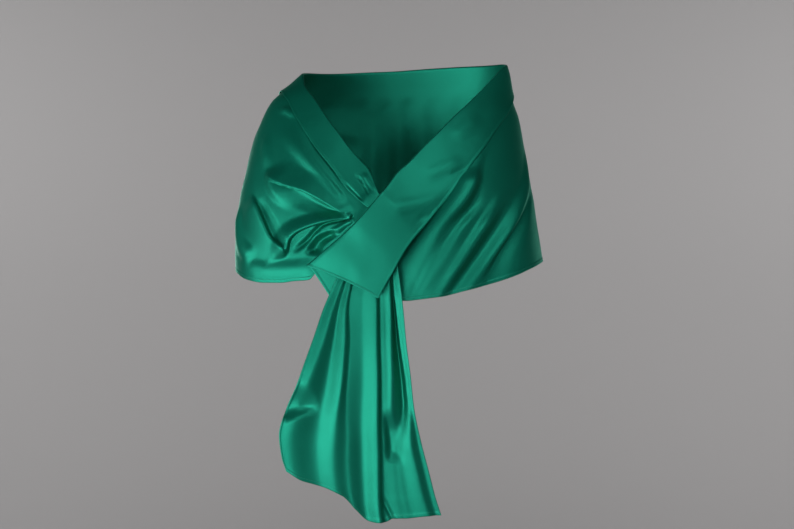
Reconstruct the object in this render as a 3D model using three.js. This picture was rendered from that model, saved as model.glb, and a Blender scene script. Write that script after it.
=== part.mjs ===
// Evening stole: one strip of satin worn round the shoulders. Its upper edge is turned
// down outside as a collar, and its right end is pulled through a slot in the left
// end's fold and hangs in front as a pleated tail.
//
// Millimetres, +Z up. The front faces -Y and +X is the wearer's left. The origin lies
// midway between the shoulders, at the height where they carry the cloth.
//
// Places on the garment are given as a turn and a height. The turn is in degrees round
// the figure, seen from above: 0 is the front centre, 90 the wearer's right, 180 the
// back, 270 the left, and past 360 the left end lies over the front again.

import * as THREE from "three";

const WALL = 1.4;
const SEAM_GAP = 0.3;
const ROW_LENGTH = 26;
const TAIL_LENGTH = 500;
const TAIL_START = 0.0022;
const ROLL_REACH = 2.5;
const ROUNDNESS = 2.3;
const DEGREE = Math.PI / 180;
const STEP = 0.01;
const NUDGE = 0.002;

const ROLL_STEPS = 3;
const MESH = {
  right_front: { along: 30, across: 26 },
  back: { along: 22, across: 13 },
  left_front: { along: 26, across: 22 },
  collar_right: { along: 30, across: 2 },
  collar_back: { along: 22, across: 2 },
  collar_left: { along: 26, across: 5 },
  tail: { along: 30, across: 32 },
};

// Reads rows of numbers as one list for each named column.
function columns(names, rows) {
  return Object.fromEntries(names.map((name, place) => [name, rows.map((row) => row[place])]));
}

// A general figure under the cloth: half widths to each side, depths to front and back.
const FIGURE = columns(["z", "right", "left", "front", "back"], [
  [-420, 288, 262, 136, 128],
  [-350, 290, 258, 137, 127],
  [-300, 292, 250, 138, 126],
  [-250, 289, 241, 138, 125],
  [-200, 283, 235, 135, 124],
  [-150, 271, 227, 127, 122],
  [-100, 258, 218, 113, 117],
  [-60, 243, 211, 98, 111],
  [-30, 226, 201, 84, 105],
  [0, 190, 195, 68, 98],
  [20, 168, 191, 56, 92],
  [45, 150, 184, 44, 84],
]);

// Each row is one line across the cloth: the fold at the neck, the collar's free edge
// and the hem. Lifts are heights of the cloth's middle above the figure: the panel's at
// the neck and the hem, the collar's at its fold and its free edge. At the left end the
// collar is a broad band that stands off over the slot. There the fold opens, by a share
// of its roll, and the panel's own edge is set back.
const SECTIONS = columns(
  [
    "neckTurn", "neckZ", "neckLift", "foldLift", "edgeTurn", "edgeZ", "edgeLift",
    "hemTurn", "hemZ", "hemLift", "setback", "open",
  ],
  [
    [12.5, -212, 16, 20, 21, -226, 20, 26, -256, 16, 0, 0],
    [16, -198, 15, 19, 25, -217, 18.7, 29, -262, 14, 0, 0],
    [18.5, -182, 10, 14, 28.5, -208, 12.8, 35, -274, 6, 0, 0],
    [23, -161, 5, 9, 34.5, -192, 8.2, 41, -299, 2, 0, 0],
    [31.4, -138, 1, 5, 42, -163, 5, 48, -330, 1, 0, 0],
    [37.4, -121, 0, 4, 46.3, -147, 4.2, 52, -346, 1, 0, 0],
    [44.1, -100, 0, 4, 52.5, -125, 4, 57.5, -348, 0, 0, 0],
    [53.1, -72, 0, 4, 60, -95, 4, 63, -351, 0, 0, 0],
    [65.5, -32, 0, 4, 69.5, -56, 4, 69, -351, 0, 0, 0],
    [74.5, -9, 0, 4, 76, -32, 4, 76, -346, 0, 0, 0],
    [84.5, 13, 0, 4, 86, -16, 4, 84.3, -334, 0, 0, 0],
    [97, 20, 0, 4, 99, -20, 4, 96, -326, 0, 0, 0],
    [118, 25, 0, 4, 119, -19, 4, 117, -334, 0, 0, 0],
    [145, 30, 0, 4, 145, -15, 4, 145, -342, 0, 0, 0],
    [180, 33, 0, 4, 180, -11, 4, 180, -346, 0, 0, 0],
    [215, 37, 0, 4, 215, -8, 4, 215, -343, 0, 0, 0],
    [240, 39, 0, 4, 240, -6, 4, 240, -334, 0, 0, 0],
    [258, 38, 0, 4, 257, -8, 4, 256, -322, 0, 0, 0],
    [273, 30, 0, 4, 270, -18, 4, 269, -311, 0, 0, 0],
    [284.3, 3, 0, 4, 279, -38, 4, 279, -316, 0, 0, 0],
    [294, -22, 0, 4, 286.5, -60, 4, 288, -326, 0, 0, 0],
    [303.7, -44, 0, 4, 295, -87, 4, 296, -338, 0, 0, 0],
    [316, -69, 0, 4, 303, -116, 4, 303, -348, 0, 0, 0],
    [329, -97, 0, 5, 313, -150, 4, 311, -357, 0, 0, 0],
    [341, -122, 1, 6, 320.5, -178, 5, 320, -365, 0, 0, 0],
    [353, -150, 3, 10, 330, -213, 7, 330, -373, 0, 0, 0],
    [361.3, -167, 5, 14, 336.5, -233, 10, 338, -376, 0, 0, 0],
    [369.1, -193, 6, 22, 344, -257, 15, 347, -379, 0, 0, 0.35],
    [373.5, -206, 7, 27, 349.5, -273, 19, 355, -381, 1, 6, 0.7],
    [380.4, -228, 7, 28, 355, -291, 21, 364, -381, 1, 12, 0.75],
    [387, -248, 7, 27, 360.5, -313, 23, 373, -381, 2, 18, 0.7],
    [394.5, -270, 7, 23, 365, -333, 24, 383, -381, 3, 10, 0.3],
    [403, -295, 7, 21, 370, -354, 24, 392, -381, 4, 0, 0],
    [411, -322, 7, 17, 374.7, -376, 24, 401.5, -380, 5, 0, 0],
  ],
);

// The rows of the table above at which each stretch of the cloth starts and ends.
const RIGHT = { first: 0, last: 10 };
const BACK = { first: 10, last: 18 };
const LEFT = { first: 18, last: 33 };

// The tail: its left and right edges at shares of its length, and how far out it hangs.
const TAIL = columns(
  ["share", "leftX", "leftY", "leftZ", "rightX", "rightY", "rightZ"],
  [
    [0, -75, -151, -254, -33, -151, -212],
    [0.03, -76, -151, -266, -27, -151, -227],
    [0.09, -88, -147, -290, -20, -150, -253],
    [0.18, -100, -144, -326, -8, -149, -299],
    [0.27, -116, -144, -362, 0, -149, -348],
    [0.36, -131, -145, -398, 6, -149, -397],
    [0.46, -145, -147, -440, 11, -149, -452],
    [0.56, -160, -148, -482, 18, -149, -506],
    [0.66, -175, -147, -524, 24, -148, -561],
    [0.76, -193, -145, -565, 35, -146, -615],
    [0.86, -204, -143, -608, 49, -144, -669],
    [0.94, -200, -141, -644, 60, -142, -712],
    [1, -192, -140, -669, 70, -141, -743],
  ],
);

// How far the tail's bottom edge sags below a straight line, at shares of its width.
const SAG = columns(["share", "drop"], [
  [0, 0],
  [0.11, 9],
  [0.25, 10],
  [0.36, 15],
  [0.45, 33],
  [0.53, 46],
  [0.64, 39],
  [0.68, 31],
  [0.79, 21],
  [0.9, 9],
  [1, 0],
]);

// Folds on the panels: a path of turns and heights, the half widths of the fold on its
// two sides as one walks along it, how far it stands out (below zero, a hollow), and
// the shares of its length over which it dies away at its start and end.
const FOLDS = [
  { name: "sharp ridge to the slot", path: [[68, -163], [49, -199], [24, -240]],
    left: 26, right: 10, rise: 9, fade: [0.6, 0.15] },
  { name: "hollow under the sharp ridge", path: [[52, -206], [42, -224], [30, -240]],
    left: 12, right: 14, rise: -4, fade: [0.5, 0.3] },
  { name: "swag", path: [[27, -243], [46, -243], [61, -270], [62, -308]],
    left: 12, right: 24, rise: 9, fade: [0.3, 0.35] },
  { name: "slit in the swag", path: [[42, -244], [51, -262], [59, -298]],
    left: 9, right: 8, rise: -5, fade: [0.4, 0.2] },
  { name: "lower lip", path: [[36, -246], [49, -268], [56, -300]],
    left: 10, right: 8, rise: 4, fade: [0.3, 0.3] },
  { name: "pocket above the hem", path: [[43, -262], [50, -290], [54, -308]],
    left: 16, right: 12, rise: -6, fade: [0.3, 0.2] },
  { name: "short fold by the slot", path: [[28, -250], [39, -262], [47, -286]],
    left: 11, right: 11, rise: 5, fade: [0.4, 0.3] },
  { name: "crease by the arm", path: [[78, -205], [68, -276], [63, -312]],
    left: 16, right: 12, rise: -5, fade: [0.5, 0.1] },
  { name: "fall of the sleeve", path: [[80, -215], [75, -265], [72, -318]],
    left: 30, right: 28, rise: 6, fade: [0.5, 0.3] },
  { name: "lobe", path: [[72, -160], [66, -200], [60, -240]],
    left: 26, right: 26, rise: 4, fade: [0.4, 0.5] },
  { name: "soft band by the collar", path: [[58, -140], [48, -178], [34, -226]],
    left: 18, right: 20, rise: 4, fade: [0.5, 0.3] },
  { name: "roll above the hem", path: [[76, -318], [66, -322], [52, -318]],
    left: 10, right: 10, rise: -3, fade: [0.3, 0.3] },
  { name: "back, right shoulder", path: [[104, -20], [112, -150], [108, -320]],
    left: 30, right: 34, rise: 8, fade: [0.5, 0.3] },
  { name: "back, right blade", path: [[128, -30], [134, -190], [142, -340]],
    left: 34, right: 28, rise: -8, fade: [0.5, 0.2] },
  { name: "back, right middle", path: [[148, -60], [157, -210], [163, -346]],
    left: 30, right: 32, rise: 8, fade: [0.6, 0.2] },
  { name: "back, middle", path: [[176, -40], [183, -200], [178, -346]],
    left: 30, right: 34, rise: -7, fade: [0.5, 0.2] },
  { name: "back, left middle", path: [[206, -70], [200, -220], [203, -343]],
    left: 32, right: 28, rise: 8, fade: [0.6, 0.2] },
  { name: "back, left blade", path: [[230, -30], [226, -180], [221, -340]],
    left: 32, right: 30, rise: -8, fade: [0.5, 0.2] },
  { name: "back, left shoulder", path: [[256, -30], [249, -160], [246, -320]],
    left: 30, right: 30, rise: 8, fade: [0.5, 0.3] },
  { name: "wide drape by the band", path: [[312, -172], [333, -248], [354, -350]],
    left: 30, right: 24, rise: 8, fade: [0.2, 0.5] },
  { name: "long hollow", path: [[310, -200], [321, -242], [335, -298]],
    left: 12, right: 16, rise: -7, fade: [0.3, 0.4] },
  { name: "short hollow", path: [[311, -236], [321, -280]],
    left: 10, right: 10, rise: -4, fade: [0.4, 0.4] },
  { name: "fine drape", path: [[289, -125], [302, -200], [321, -315]],
    left: 18, right: 16, rise: 5, fade: [0.4, 0.4] },
  { name: "deep streak", path: [[300, -205], [311, -262], [326, -346]],
    left: 14, right: 12, rise: -6, fade: [0.4, 0.3] },
  { name: "second drape", path: [[284, -180], [296, -227], [312, -318]],
    left: 16, right: 16, rise: 5, fade: [0.4, 0.4] },
  { name: "second streak", path: [[285, -200], [299, -259], [309, -315]],
    left: 14, right: 12, rise: -5, fade: [0.4, 0.3] },
  { name: "side drape", path: [[279, -215], [291, -269], [298, -315]],
    left: 16, right: 20, rise: 5, fade: [0.4, 0.3] },
  { name: "hollow below the band", path: [[284, -75], [300, -140], [309, -190]],
    left: 24, right: 30, rise: -4, fade: [0.4, 0.4] },
];

// Pleats of the tail: a path of shares across and along, and widths, rise and fading
// as above.
const PLEATS = [
  { name: "edge ridge", path: [[0.03, 0.05], [0.07, 0.3], [0.09, 0.52]],
    left: 12, right: 9, rise: 7, fade: [0.1, 0.4] },
  { name: "left swell", path: [[0.14, 0.35], [0.17, 0.62], [0.12, 1]],
    left: 20, right: 26, rise: 6, fade: [0.4, 0.1] },
  { name: "second pleat", path: [[0.3, 0], [0.33, 0.5], [0.34, 0.8], [0.27, 1]],
    left: 22, right: 16, rise: 10, fade: [0.1, 0.2] },
  { name: "main pleat", path: [[0.58, 0], [0.6, 0.4], [0.62, 0.8], [0.56, 1]],
    left: 12, right: 34, rise: 14, fade: [0.05, 0.05] },
  { name: "third pleat", path: [[0.76, 0], [0.79, 0.4], [0.78, 0.86]],
    left: 11, right: 16, rise: 10, fade: [0.05, 0.25] },
  { name: "right edge", path: [[0.97, 0.05], [0.97, 0.5], [1, 0.75]],
    left: 16, right: 18, rise: 9, fade: [0.1, 0.4] },
  { name: "lower right swell", path: [[0.86, 0.7], [0.82, 1]],
    left: 24, right: 30, rise: 7, fade: [0.5, 0.05] },
];
const PLEATS_IN_SLOT = 0.35;
const PLEATS_OPEN_FROM = 0.28;
const PLEATS_OPEN_TO = 0.55;
const PLEAT_BASE = 4;
const TAIL_LEAVES = 0.16;

function mix(from, to, share) {
  return from + (to - from) * share;
}

function ease(from, to, value) {
  const share = Math.min(1, Math.max(0, (value - from) / (to - from)));
  return share * share * (3 - 2 * share);
}

// The slope of a smooth curve at one row: level where the values turn back.
function slopeAt(keys, values, row) {
  const rise = (k) => (values[k + 1] - values[k]) / (keys[k + 1] - keys[k]);
  if (row === 0) {
    return rise(0);
  }
  if (row === keys.length - 1) {
    return rise(row - 1);
  }
  const before = rise(row - 1);
  const after = rise(row);
  return before * after <= 0 ? 0 : (2 * before * after) / (before + after);
}

// A smooth curve through a table's rows that never passes beyond them.
function follow(keys, values, at) {
  let row = 0;
  while (row < keys.length - 2 && at > keys[row + 1]) {
    row += 1;
  }
  const width = keys[row + 1] - keys[row];
  const t = (at - keys[row]) / width;
  const a = values[row];
  const b = values[row + 1];
  const slopeA = slopeAt(keys, values, row) * width;
  const slopeB = slopeAt(keys, values, row + 1) * width;
  const bend = t * t * (3 - 2 * t);
  return a + (b - a) * bend + slopeA * t * (1 - t) * (1 - t) - slopeB * t * t * (1 - t);
}

const ROWS = SECTIONS.neckTurn.map((_, row) => row);

// One column of the sections, at a row that may lie between two rows.
function section(name, row) {
  return follow(ROWS, SECTIONS[name], row);
}

function figureRadius(turn, z) {
  const side = Math.sin(turn * DEGREE);
  const face = Math.cos(turn * DEGREE);
  const width = follow(FIGURE.z, side >= 0 ? FIGURE.right : FIGURE.left, z);
  const depth = follow(FIGURE.z, face >= 0 ? FIGURE.front : FIGURE.back, z);
  const sum = (Math.abs(side) / width) ** ROUNDNESS + (Math.abs(face) / depth) ** ROUNDNESS;
  return sum ** (-1 / ROUNDNESS);
}

function onFigure(turn, z) {
  const radius = figureRadius(turn, z);
  return new THREE.Vector3(-radius * Math.sin(turn * DEGREE), -radius * Math.cos(turn * DEGREE), z);
}

function figureNormal(turn, z) {
  const byTurn = onFigure(turn + STEP, z).sub(onFigure(turn - STEP, z));
  const byHeight = onFigure(turn, z - STEP).sub(onFigure(turn, z + STEP));
  return byTurn.cross(byHeight).normalize();
}

// How far a set of folds moves a point out. The scales turn the two numbers of a place
// into millimetres.
function rise(folds, place, scales) {
  let total = 0;
  for (const fold of folds) {
    total += foldRise(fold, place, scales);
  }
  return total;
}

function foldRise(fold, place, scales) {
  const points = fold.path.map(([a, b]) => [(a - place[0]) * scales[0], (b - place[1]) * scales[1]]);
  const lengths = points.slice(1).map((p, k) => Math.hypot(p[0] - points[k][0], p[1] - points[k][1]));
  const whole = lengths.reduce((sum, length) => sum + length, 0);
  let nearest = Infinity;
  let share = 0;
  let side = 1;
  let walked = 0;
  lengths.forEach((length, k) => {
    const [ax, ay] = points[k];
    const dx = (points[k + 1][0] - ax) / length;
    const dy = (points[k + 1][1] - ay) / length;
    const along = Math.min(length, Math.max(0, -(ax * dx + ay * dy)));
    const away = Math.hypot(ax + dx * along, ay + dy * along);
    if (away < nearest) {
      nearest = away;
      share = (walked + along) / whole;
      side = dx * (ay + dy * along) - dy * (ax + dx * along);
    }
    walked += length;
  });
  const reach = nearest / (side > 0 ? fold.left : fold.right);
  if (reach >= 1) {
    return 0;
  }
  const [start, end] = fold.fade;
  return fold.rise * (1 - reach * reach) ** 2 * ease(0, start, share) * ease(0, end, 1 - share);
}

// A point of the cloth on the figure, folds included.
function clothPoint(turn, z, lift) {
  const scales = [figureRadius(turn, z) * DEGREE, 1];
  const height = lift + rise(FOLDS, [turn, z], scales);
  return onFigure(turn, z).addScaledVector(figureNormal(turn, z), height);
}

// A point of the panels between the fold at the neck (0) and the hem (1).
function panelPoint(row, share) {
  const turn = mix(section("neckTurn", row), section("hemTurn", row), share);
  const z = mix(section("neckZ", row), section("hemZ", row), share);
  const lift = mix(section("neckLift", row), section("hemLift", row), share);
  return clothPoint(turn, z, lift);
}

// The same, with the upper edge set back from the fold where the slot opens.
function setBackPoint(row, share) {
  const back = section("setback", row);
  if (back <= 0) {
    return panelPoint(row, share);
  }
  const length = panelPoint(row, 0).distanceTo(panelPoint(row, 1));
  return panelPoint(row, mix(back / length, 1, share));
}

// A point of the collar: from 0 to 1 it rolls over at the neck, from 1 to 2 it lies
// down over the panel.
function collarPoint(row, place) {
  return place > 1 ? leafPoint(row, place - 1) : rollPoint(row, place);
}

function leafPoint(row, share) {
  const turn = mix(section("neckTurn", row), section("edgeTurn", row), share);
  const z = mix(section("neckZ", row), section("edgeZ", row), share);
  return clothPoint(turn, z, mix(section("foldLift", row), section("edgeLift", row), share));
}

function rollPoint(row, share) {
  const turn = section("neckTurn", row);
  const z = section("neckZ", row);
  const radius = (section("foldLift", row) - section("neckLift", row)) / 2;
  const angle = mix(section("open", row), 1, share) * Math.PI;
  const down = panelPoint(row, STEP).sub(panelPoint(row, 0)).normalize();
  const reach = Math.min(radius, ROLL_REACH) * Math.sin(angle);
  return panelPoint(row, 0)
    .addScaledVector(figureNormal(turn, z), radius * (1 - Math.cos(angle)))
    .addScaledVector(down, -SEAM_GAP - reach);
}

// A point of the tail, at shares along and across it. Its start meets the panel that
// it is drawn from.
function tailPoint(along, across) {
  const seam = panelPoint(RIGHT.first, 1 - across).sub(hangingPoint(0, across));
  return hangingPoint(along, across).addScaledVector(seam, 1 - ease(0, TAIL_LEAVES, along));
}

function hangingPoint(along, across) {
  const at = (name) => follow(TAIL.share, TAIL[name], along);
  const width = Math.hypot(at("rightX") - at("leftX"), at("rightZ") - at("leftZ"));
  const opened = mix(PLEATS_IN_SLOT, 1, ease(PLEATS_OPEN_FROM, PLEATS_OPEN_TO, along));
  const out = (rise(PLEATS, [across, along], [width, -TAIL_LENGTH]) - PLEAT_BASE) * opened;
  const drop = follow(SAG.share, SAG.drop, across) * along ** 3;
  return new THREE.Vector3(
    mix(at("leftX"), at("rightX"), across),
    mix(at("leftY"), at("rightY"), across) - out,
    mix(at("leftZ"), at("rightZ"), across) - drop,
  );
}

// Even steps from one value to another.
function steps(from, to, count) {
  return Array.from({ length: count + 1 }, (_, k) => mix(from, to, k / count));
}

// The direction that a surface faces at a place, from steps that stay within its edges.
function surfaceNormal(pointAt, along, across, alongs, acrosses) {
  const before = Math.max(alongs[0], along - NUDGE);
  const after = Math.min(alongs.at(-1), along + NUDGE);
  const above = Math.max(acrosses[0], across - NUDGE);
  const below = Math.min(acrosses.at(-1), across + NUDGE);
  const run = pointAt(after, across).sub(pointAt(before, across));
  const fall = pointAt(along, below).sub(pointAt(along, above));
  return run.cross(fall).normalize();
}

// A closed wall round a surface's middle: an outer and an inner skin and a rim.
function wallGeometry(alongs, acrosses, pointAt) {
  const rowCount = alongs.length;
  const size = acrosses.length;
  const outer = [];
  const inner = [];
  for (const along of alongs) {
    for (const across of acrosses) {
      const middle = pointAt(along, across);
      const normal = surfaceNormal(pointAt, along, across, alongs, acrosses);
      outer.push(...middle.clone().addScaledVector(normal, WALL / 2).toArray());
      inner.push(...middle.addScaledVector(normal, -WALL / 2).toArray());
    }
  }
  const innerStart = rowCount * size;
  const at = (i, j) => i * size + j;
  const faces = [];
  for (let i = 0; i < rowCount - 1; i += 1) {
    for (let j = 0; j < size - 1; j += 1) {
      const corners = [at(i, j), at(i + 1, j), at(i + 1, j + 1), at(i, j + 1)];
      const [a, b, c, d] = corners;
      const [p, q, r, s] = corners.map((corner) => corner + innerStart);
      faces.push(a, b, c, a, c, d, p, r, q, p, s, r);
    }
  }
  for (const [a, b] of rimEdges(rowCount, size, at)) {
    faces.push(b, a, a + innerStart, b, a + innerStart, b + innerStart);
  }
  const geometry = new THREE.BufferGeometry();
  geometry.setAttribute("position", new THREE.Float32BufferAttribute([...outer, ...inner], 3));
  geometry.setIndex(faces);
  geometry.computeVertexNormals();
  return geometry;
}

// The edges round a grid, in the order that its outer faces use.
function rimEdges(rowCount, size, at) {
  const ring = [];
  for (let i = 0; i < rowCount - 1; i += 1) {
    ring.push(at(i, 0));
  }
  for (let j = 0; j < size - 1; j += 1) {
    ring.push(at(rowCount - 1, j));
  }
  for (let i = rowCount - 1; i > 0; i -= 1) {
    ring.push(at(i, size - 1));
  }
  for (let j = size - 1; j > 0; j -= 1) {
    ring.push(at(0, j));
  }
  return ring.map((corner, k) => [corner, ring[(k + 1) % ring.length]]);
}

// The rows of a stretch, cut back at both ends by half a seam's gap.
function rowsOf(part, count) {
  const cut = SEAM_GAP / 2 / ROW_LENGTH;
  return steps(part.first + cut, part.last - cut, count);
}

function panelGeometry(part, mesh) {
  return wallGeometry(rowsOf(part, mesh.along), steps(0, 1, mesh.across), setBackPoint);
}

function collarGeometry(part, mesh) {
  const leaf = steps(1, 2, mesh.across).slice(1);
  return wallGeometry(rowsOf(part, mesh.along), [...steps(0, 1, ROLL_STEPS), ...leaf], collarPoint);
}

function tailGeometry(mesh) {
  const alongs = steps(TAIL_START, 1, mesh.along);
  return wallGeometry(alongs, steps(0, 1, mesh.across), tailPoint);
}

const stole = new THREE.Group();

function sew(name, geometry, color) {
  const satin = new THREE.MeshStandardMaterial({ color, roughness: 0.38, metalness: 0.15 });
  const mesh = new THREE.Mesh(geometry, satin);
  mesh.name = name;
  stole.add(mesh);
}

sew("right_front", panelGeometry(RIGHT, MESH.right_front), 0x04714f);
sew("back", panelGeometry(BACK, MESH.back), 0x056a4b);
sew("left_front", panelGeometry(LEFT, MESH.left_front), 0x0a7858);
sew("collar_right", collarGeometry(RIGHT, MESH.collar_right), 0x067a5a);
sew("collar_back", collarGeometry(BACK, MESH.collar_back), 0x057052);
sew("collar_left", collarGeometry(LEFT, MESH.collar_left), 0x0d8262);
sew("tail", tailGeometry(MESH.tail), 0x128566);

export default stole;
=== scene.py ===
"""Evening stole of emerald satin, worn round the shoulders.

One strip of cloth goes round a general figure. Its upper edge is turned down outside as
a collar. Its left end's fold opens as a slot, and the right end is gathered through it
and hangs in front as a pleated tail.

Places on the strip are given as a turn in degrees (0 the front centre, 90 the wearer's
right, 180 the back, 270 the left, past 360 the left end over the front again) and a
height in millimetres. Lengths are in millimetres until a mesh is made, in metres.
"""

import logging
import math
from collections.abc import Callable
from dataclasses import dataclass, field
from enum import Enum

import bpy
import numpy as np
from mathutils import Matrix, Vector


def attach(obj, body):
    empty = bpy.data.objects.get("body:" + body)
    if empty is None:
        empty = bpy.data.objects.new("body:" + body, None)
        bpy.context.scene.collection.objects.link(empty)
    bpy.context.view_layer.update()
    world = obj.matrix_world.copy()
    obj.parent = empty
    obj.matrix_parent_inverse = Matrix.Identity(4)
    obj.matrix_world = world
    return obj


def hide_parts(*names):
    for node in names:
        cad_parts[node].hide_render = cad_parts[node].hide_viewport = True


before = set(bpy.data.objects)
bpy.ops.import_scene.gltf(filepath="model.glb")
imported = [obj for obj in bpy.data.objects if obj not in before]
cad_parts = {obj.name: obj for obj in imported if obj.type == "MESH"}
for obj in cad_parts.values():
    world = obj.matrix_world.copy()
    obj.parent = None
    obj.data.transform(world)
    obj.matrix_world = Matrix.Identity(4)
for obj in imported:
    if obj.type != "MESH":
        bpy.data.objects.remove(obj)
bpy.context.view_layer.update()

LOG = logging.getLogger("stole")
Array = np.ndarray
Colour = tuple[float, float, float, float]
Place = tuple[float, float, float]
Socket = bpy.types.NodeSocket
Setting = float | tuple[float, ...] | Socket

MM = 0.001
TINY = 1e-9
DEGREE = math.pi / 180
BODY = "root"
WEAVE = "weave"


def mix(start: Array | float, end: Array | float, share: Array | float) -> Array:
    """Go from one value to another by a share."""
    return start + (end - start) * share


def ease(start: float, end: float, value: Array | float) -> Array:
    """Rise softly from 0 to 1.

    Args:
        start: The value at which the rise begins.
        end: The value at which it is complete.
        value: Where to read it.

    Returns:
        The share risen, 0 to 1.
    """
    share = np.clip((value - start) / (end - start), 0.0, 1.0)
    return share * share * (3 - 2 * share)


def follow(keys: Array, values: Array, at: Array) -> Array:
    """Read a smooth curve through a table's rows that never passes beyond them.

    Args:
        keys: The rows' keys, rising.
        values: The rows' values.
        at: The keys to read at.

    Returns:
        The curve's values there.
    """
    rises = np.diff(values) / np.diff(keys)
    slopes = np.zeros(len(values))
    slopes[0] = rises[0]
    slopes[-1] = rises[-1]
    before = rises[:-1]
    after = rises[1:]
    same = before * after > 0
    slopes[1:-1][same] = (2 * before * after)[same] / (before + after)[same]
    row = np.clip(np.searchsorted(keys, at, side="left") - 1, 0, len(keys) - 2)
    width = keys[row + 1] - keys[row]
    t = (at - keys[row]) / width
    bend = t * t * (3 - 2 * t)
    start = slopes[row] * width * t * (1 - t) ** 2
    end = slopes[row + 1] * width * t * t * (1 - t)
    return values[row] + (values[row + 1] - values[row]) * bend + start - end


def unit(vectors: Array) -> Array:
    """Scale vectors to length one."""
    return vectors / np.maximum(np.linalg.norm(vectors, axis=-1, keepdims=True), TINY)


@dataclass(frozen=True)
class Chart:
    """A table with named columns, read as smooth curves."""

    names: tuple[str, ...]
    rows: tuple[tuple[float, ...], ...]

    def column(self, name: str) -> Array:
        """List one column."""
        place = self.names.index(name)
        return np.array([row[place] for row in self.rows], float)

    def read(self, name: str, at: Array, key: str = "") -> Array:
        """Read a column between its rows.

        Args:
            name: The column.
            at: Where to read, as row numbers or as values of the key column.
            key: The key column's name, or nothing for row numbers.

        Returns:
            The column's values there.
        """
        keys = self.column(key) if key else np.arange(len(self.rows), dtype=float)
        return follow(keys, self.column(name), np.asarray(at, float))


# Three crossing waves: how they go with two ways and a start, and how each is bent.
WAVES = Chart(("first", "second", "start", "bend", "bend_first", "bend_second", "bend_start"), (
    (1, 0, 1, 0.9, 0, 0.61, 1),
    (0.57, -1.13, 1.7, 1.1, 0.37, 0, 0),
    (0.43, 1.31, 2.3, 0, 0, 0, 0),
))


@dataclass(frozen=True)
class Ripple:
    """A smooth unevenness of a sheet, the same each time.

    Its lengths are the usual ones of a wave along the first and the second way. The
    start makes two ripples differ.
    """

    first_length: float
    second_length: float
    start: float
    height: float

    def over(self, first: Array, second: Array) -> Array:
        """Read the ripple at places.

        Args:
            first: The places along the first way.
            second: The places along the second way.

        Returns:
            Rises between about plus and minus its height.
        """
        a = first / self.first_length * 2 * math.pi
        b = second / self.second_length * 2 * math.pi
        total = np.zeros(np.broadcast(a, b).shape)
        for by_a, by_b, by_start, bend, bend_a, bend_b, bend_start in WAVES.rows:
            bent = bend * np.sin(bend_a * a + bend_b * b + bend_start * self.start)
            total += np.sin(by_a * a + by_b * b + by_start * self.start + bent)
        return self.height * total / len(WAVES.rows)


# A general figure under the cloth: half widths to each side, depths to front and back.
FIGURE = Chart(("z", "right", "left", "front", "back"), (
    (-420, 288, 262, 136, 128),
    (-350, 290, 258, 137, 127),
    (-300, 292, 250, 138, 126),
    (-250, 289, 241, 138, 125),
    (-200, 283, 235, 135, 124),
    (-150, 271, 227, 127, 122),
    (-100, 258, 218, 113, 117),
    (-60, 243, 211, 98, 111),
    (-30, 226, 201, 84, 105),
    (0, 190, 195, 68, 98),
    (20, 168, 191, 56, 92),
    (45, 150, 184, 44, 84),
))

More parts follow.
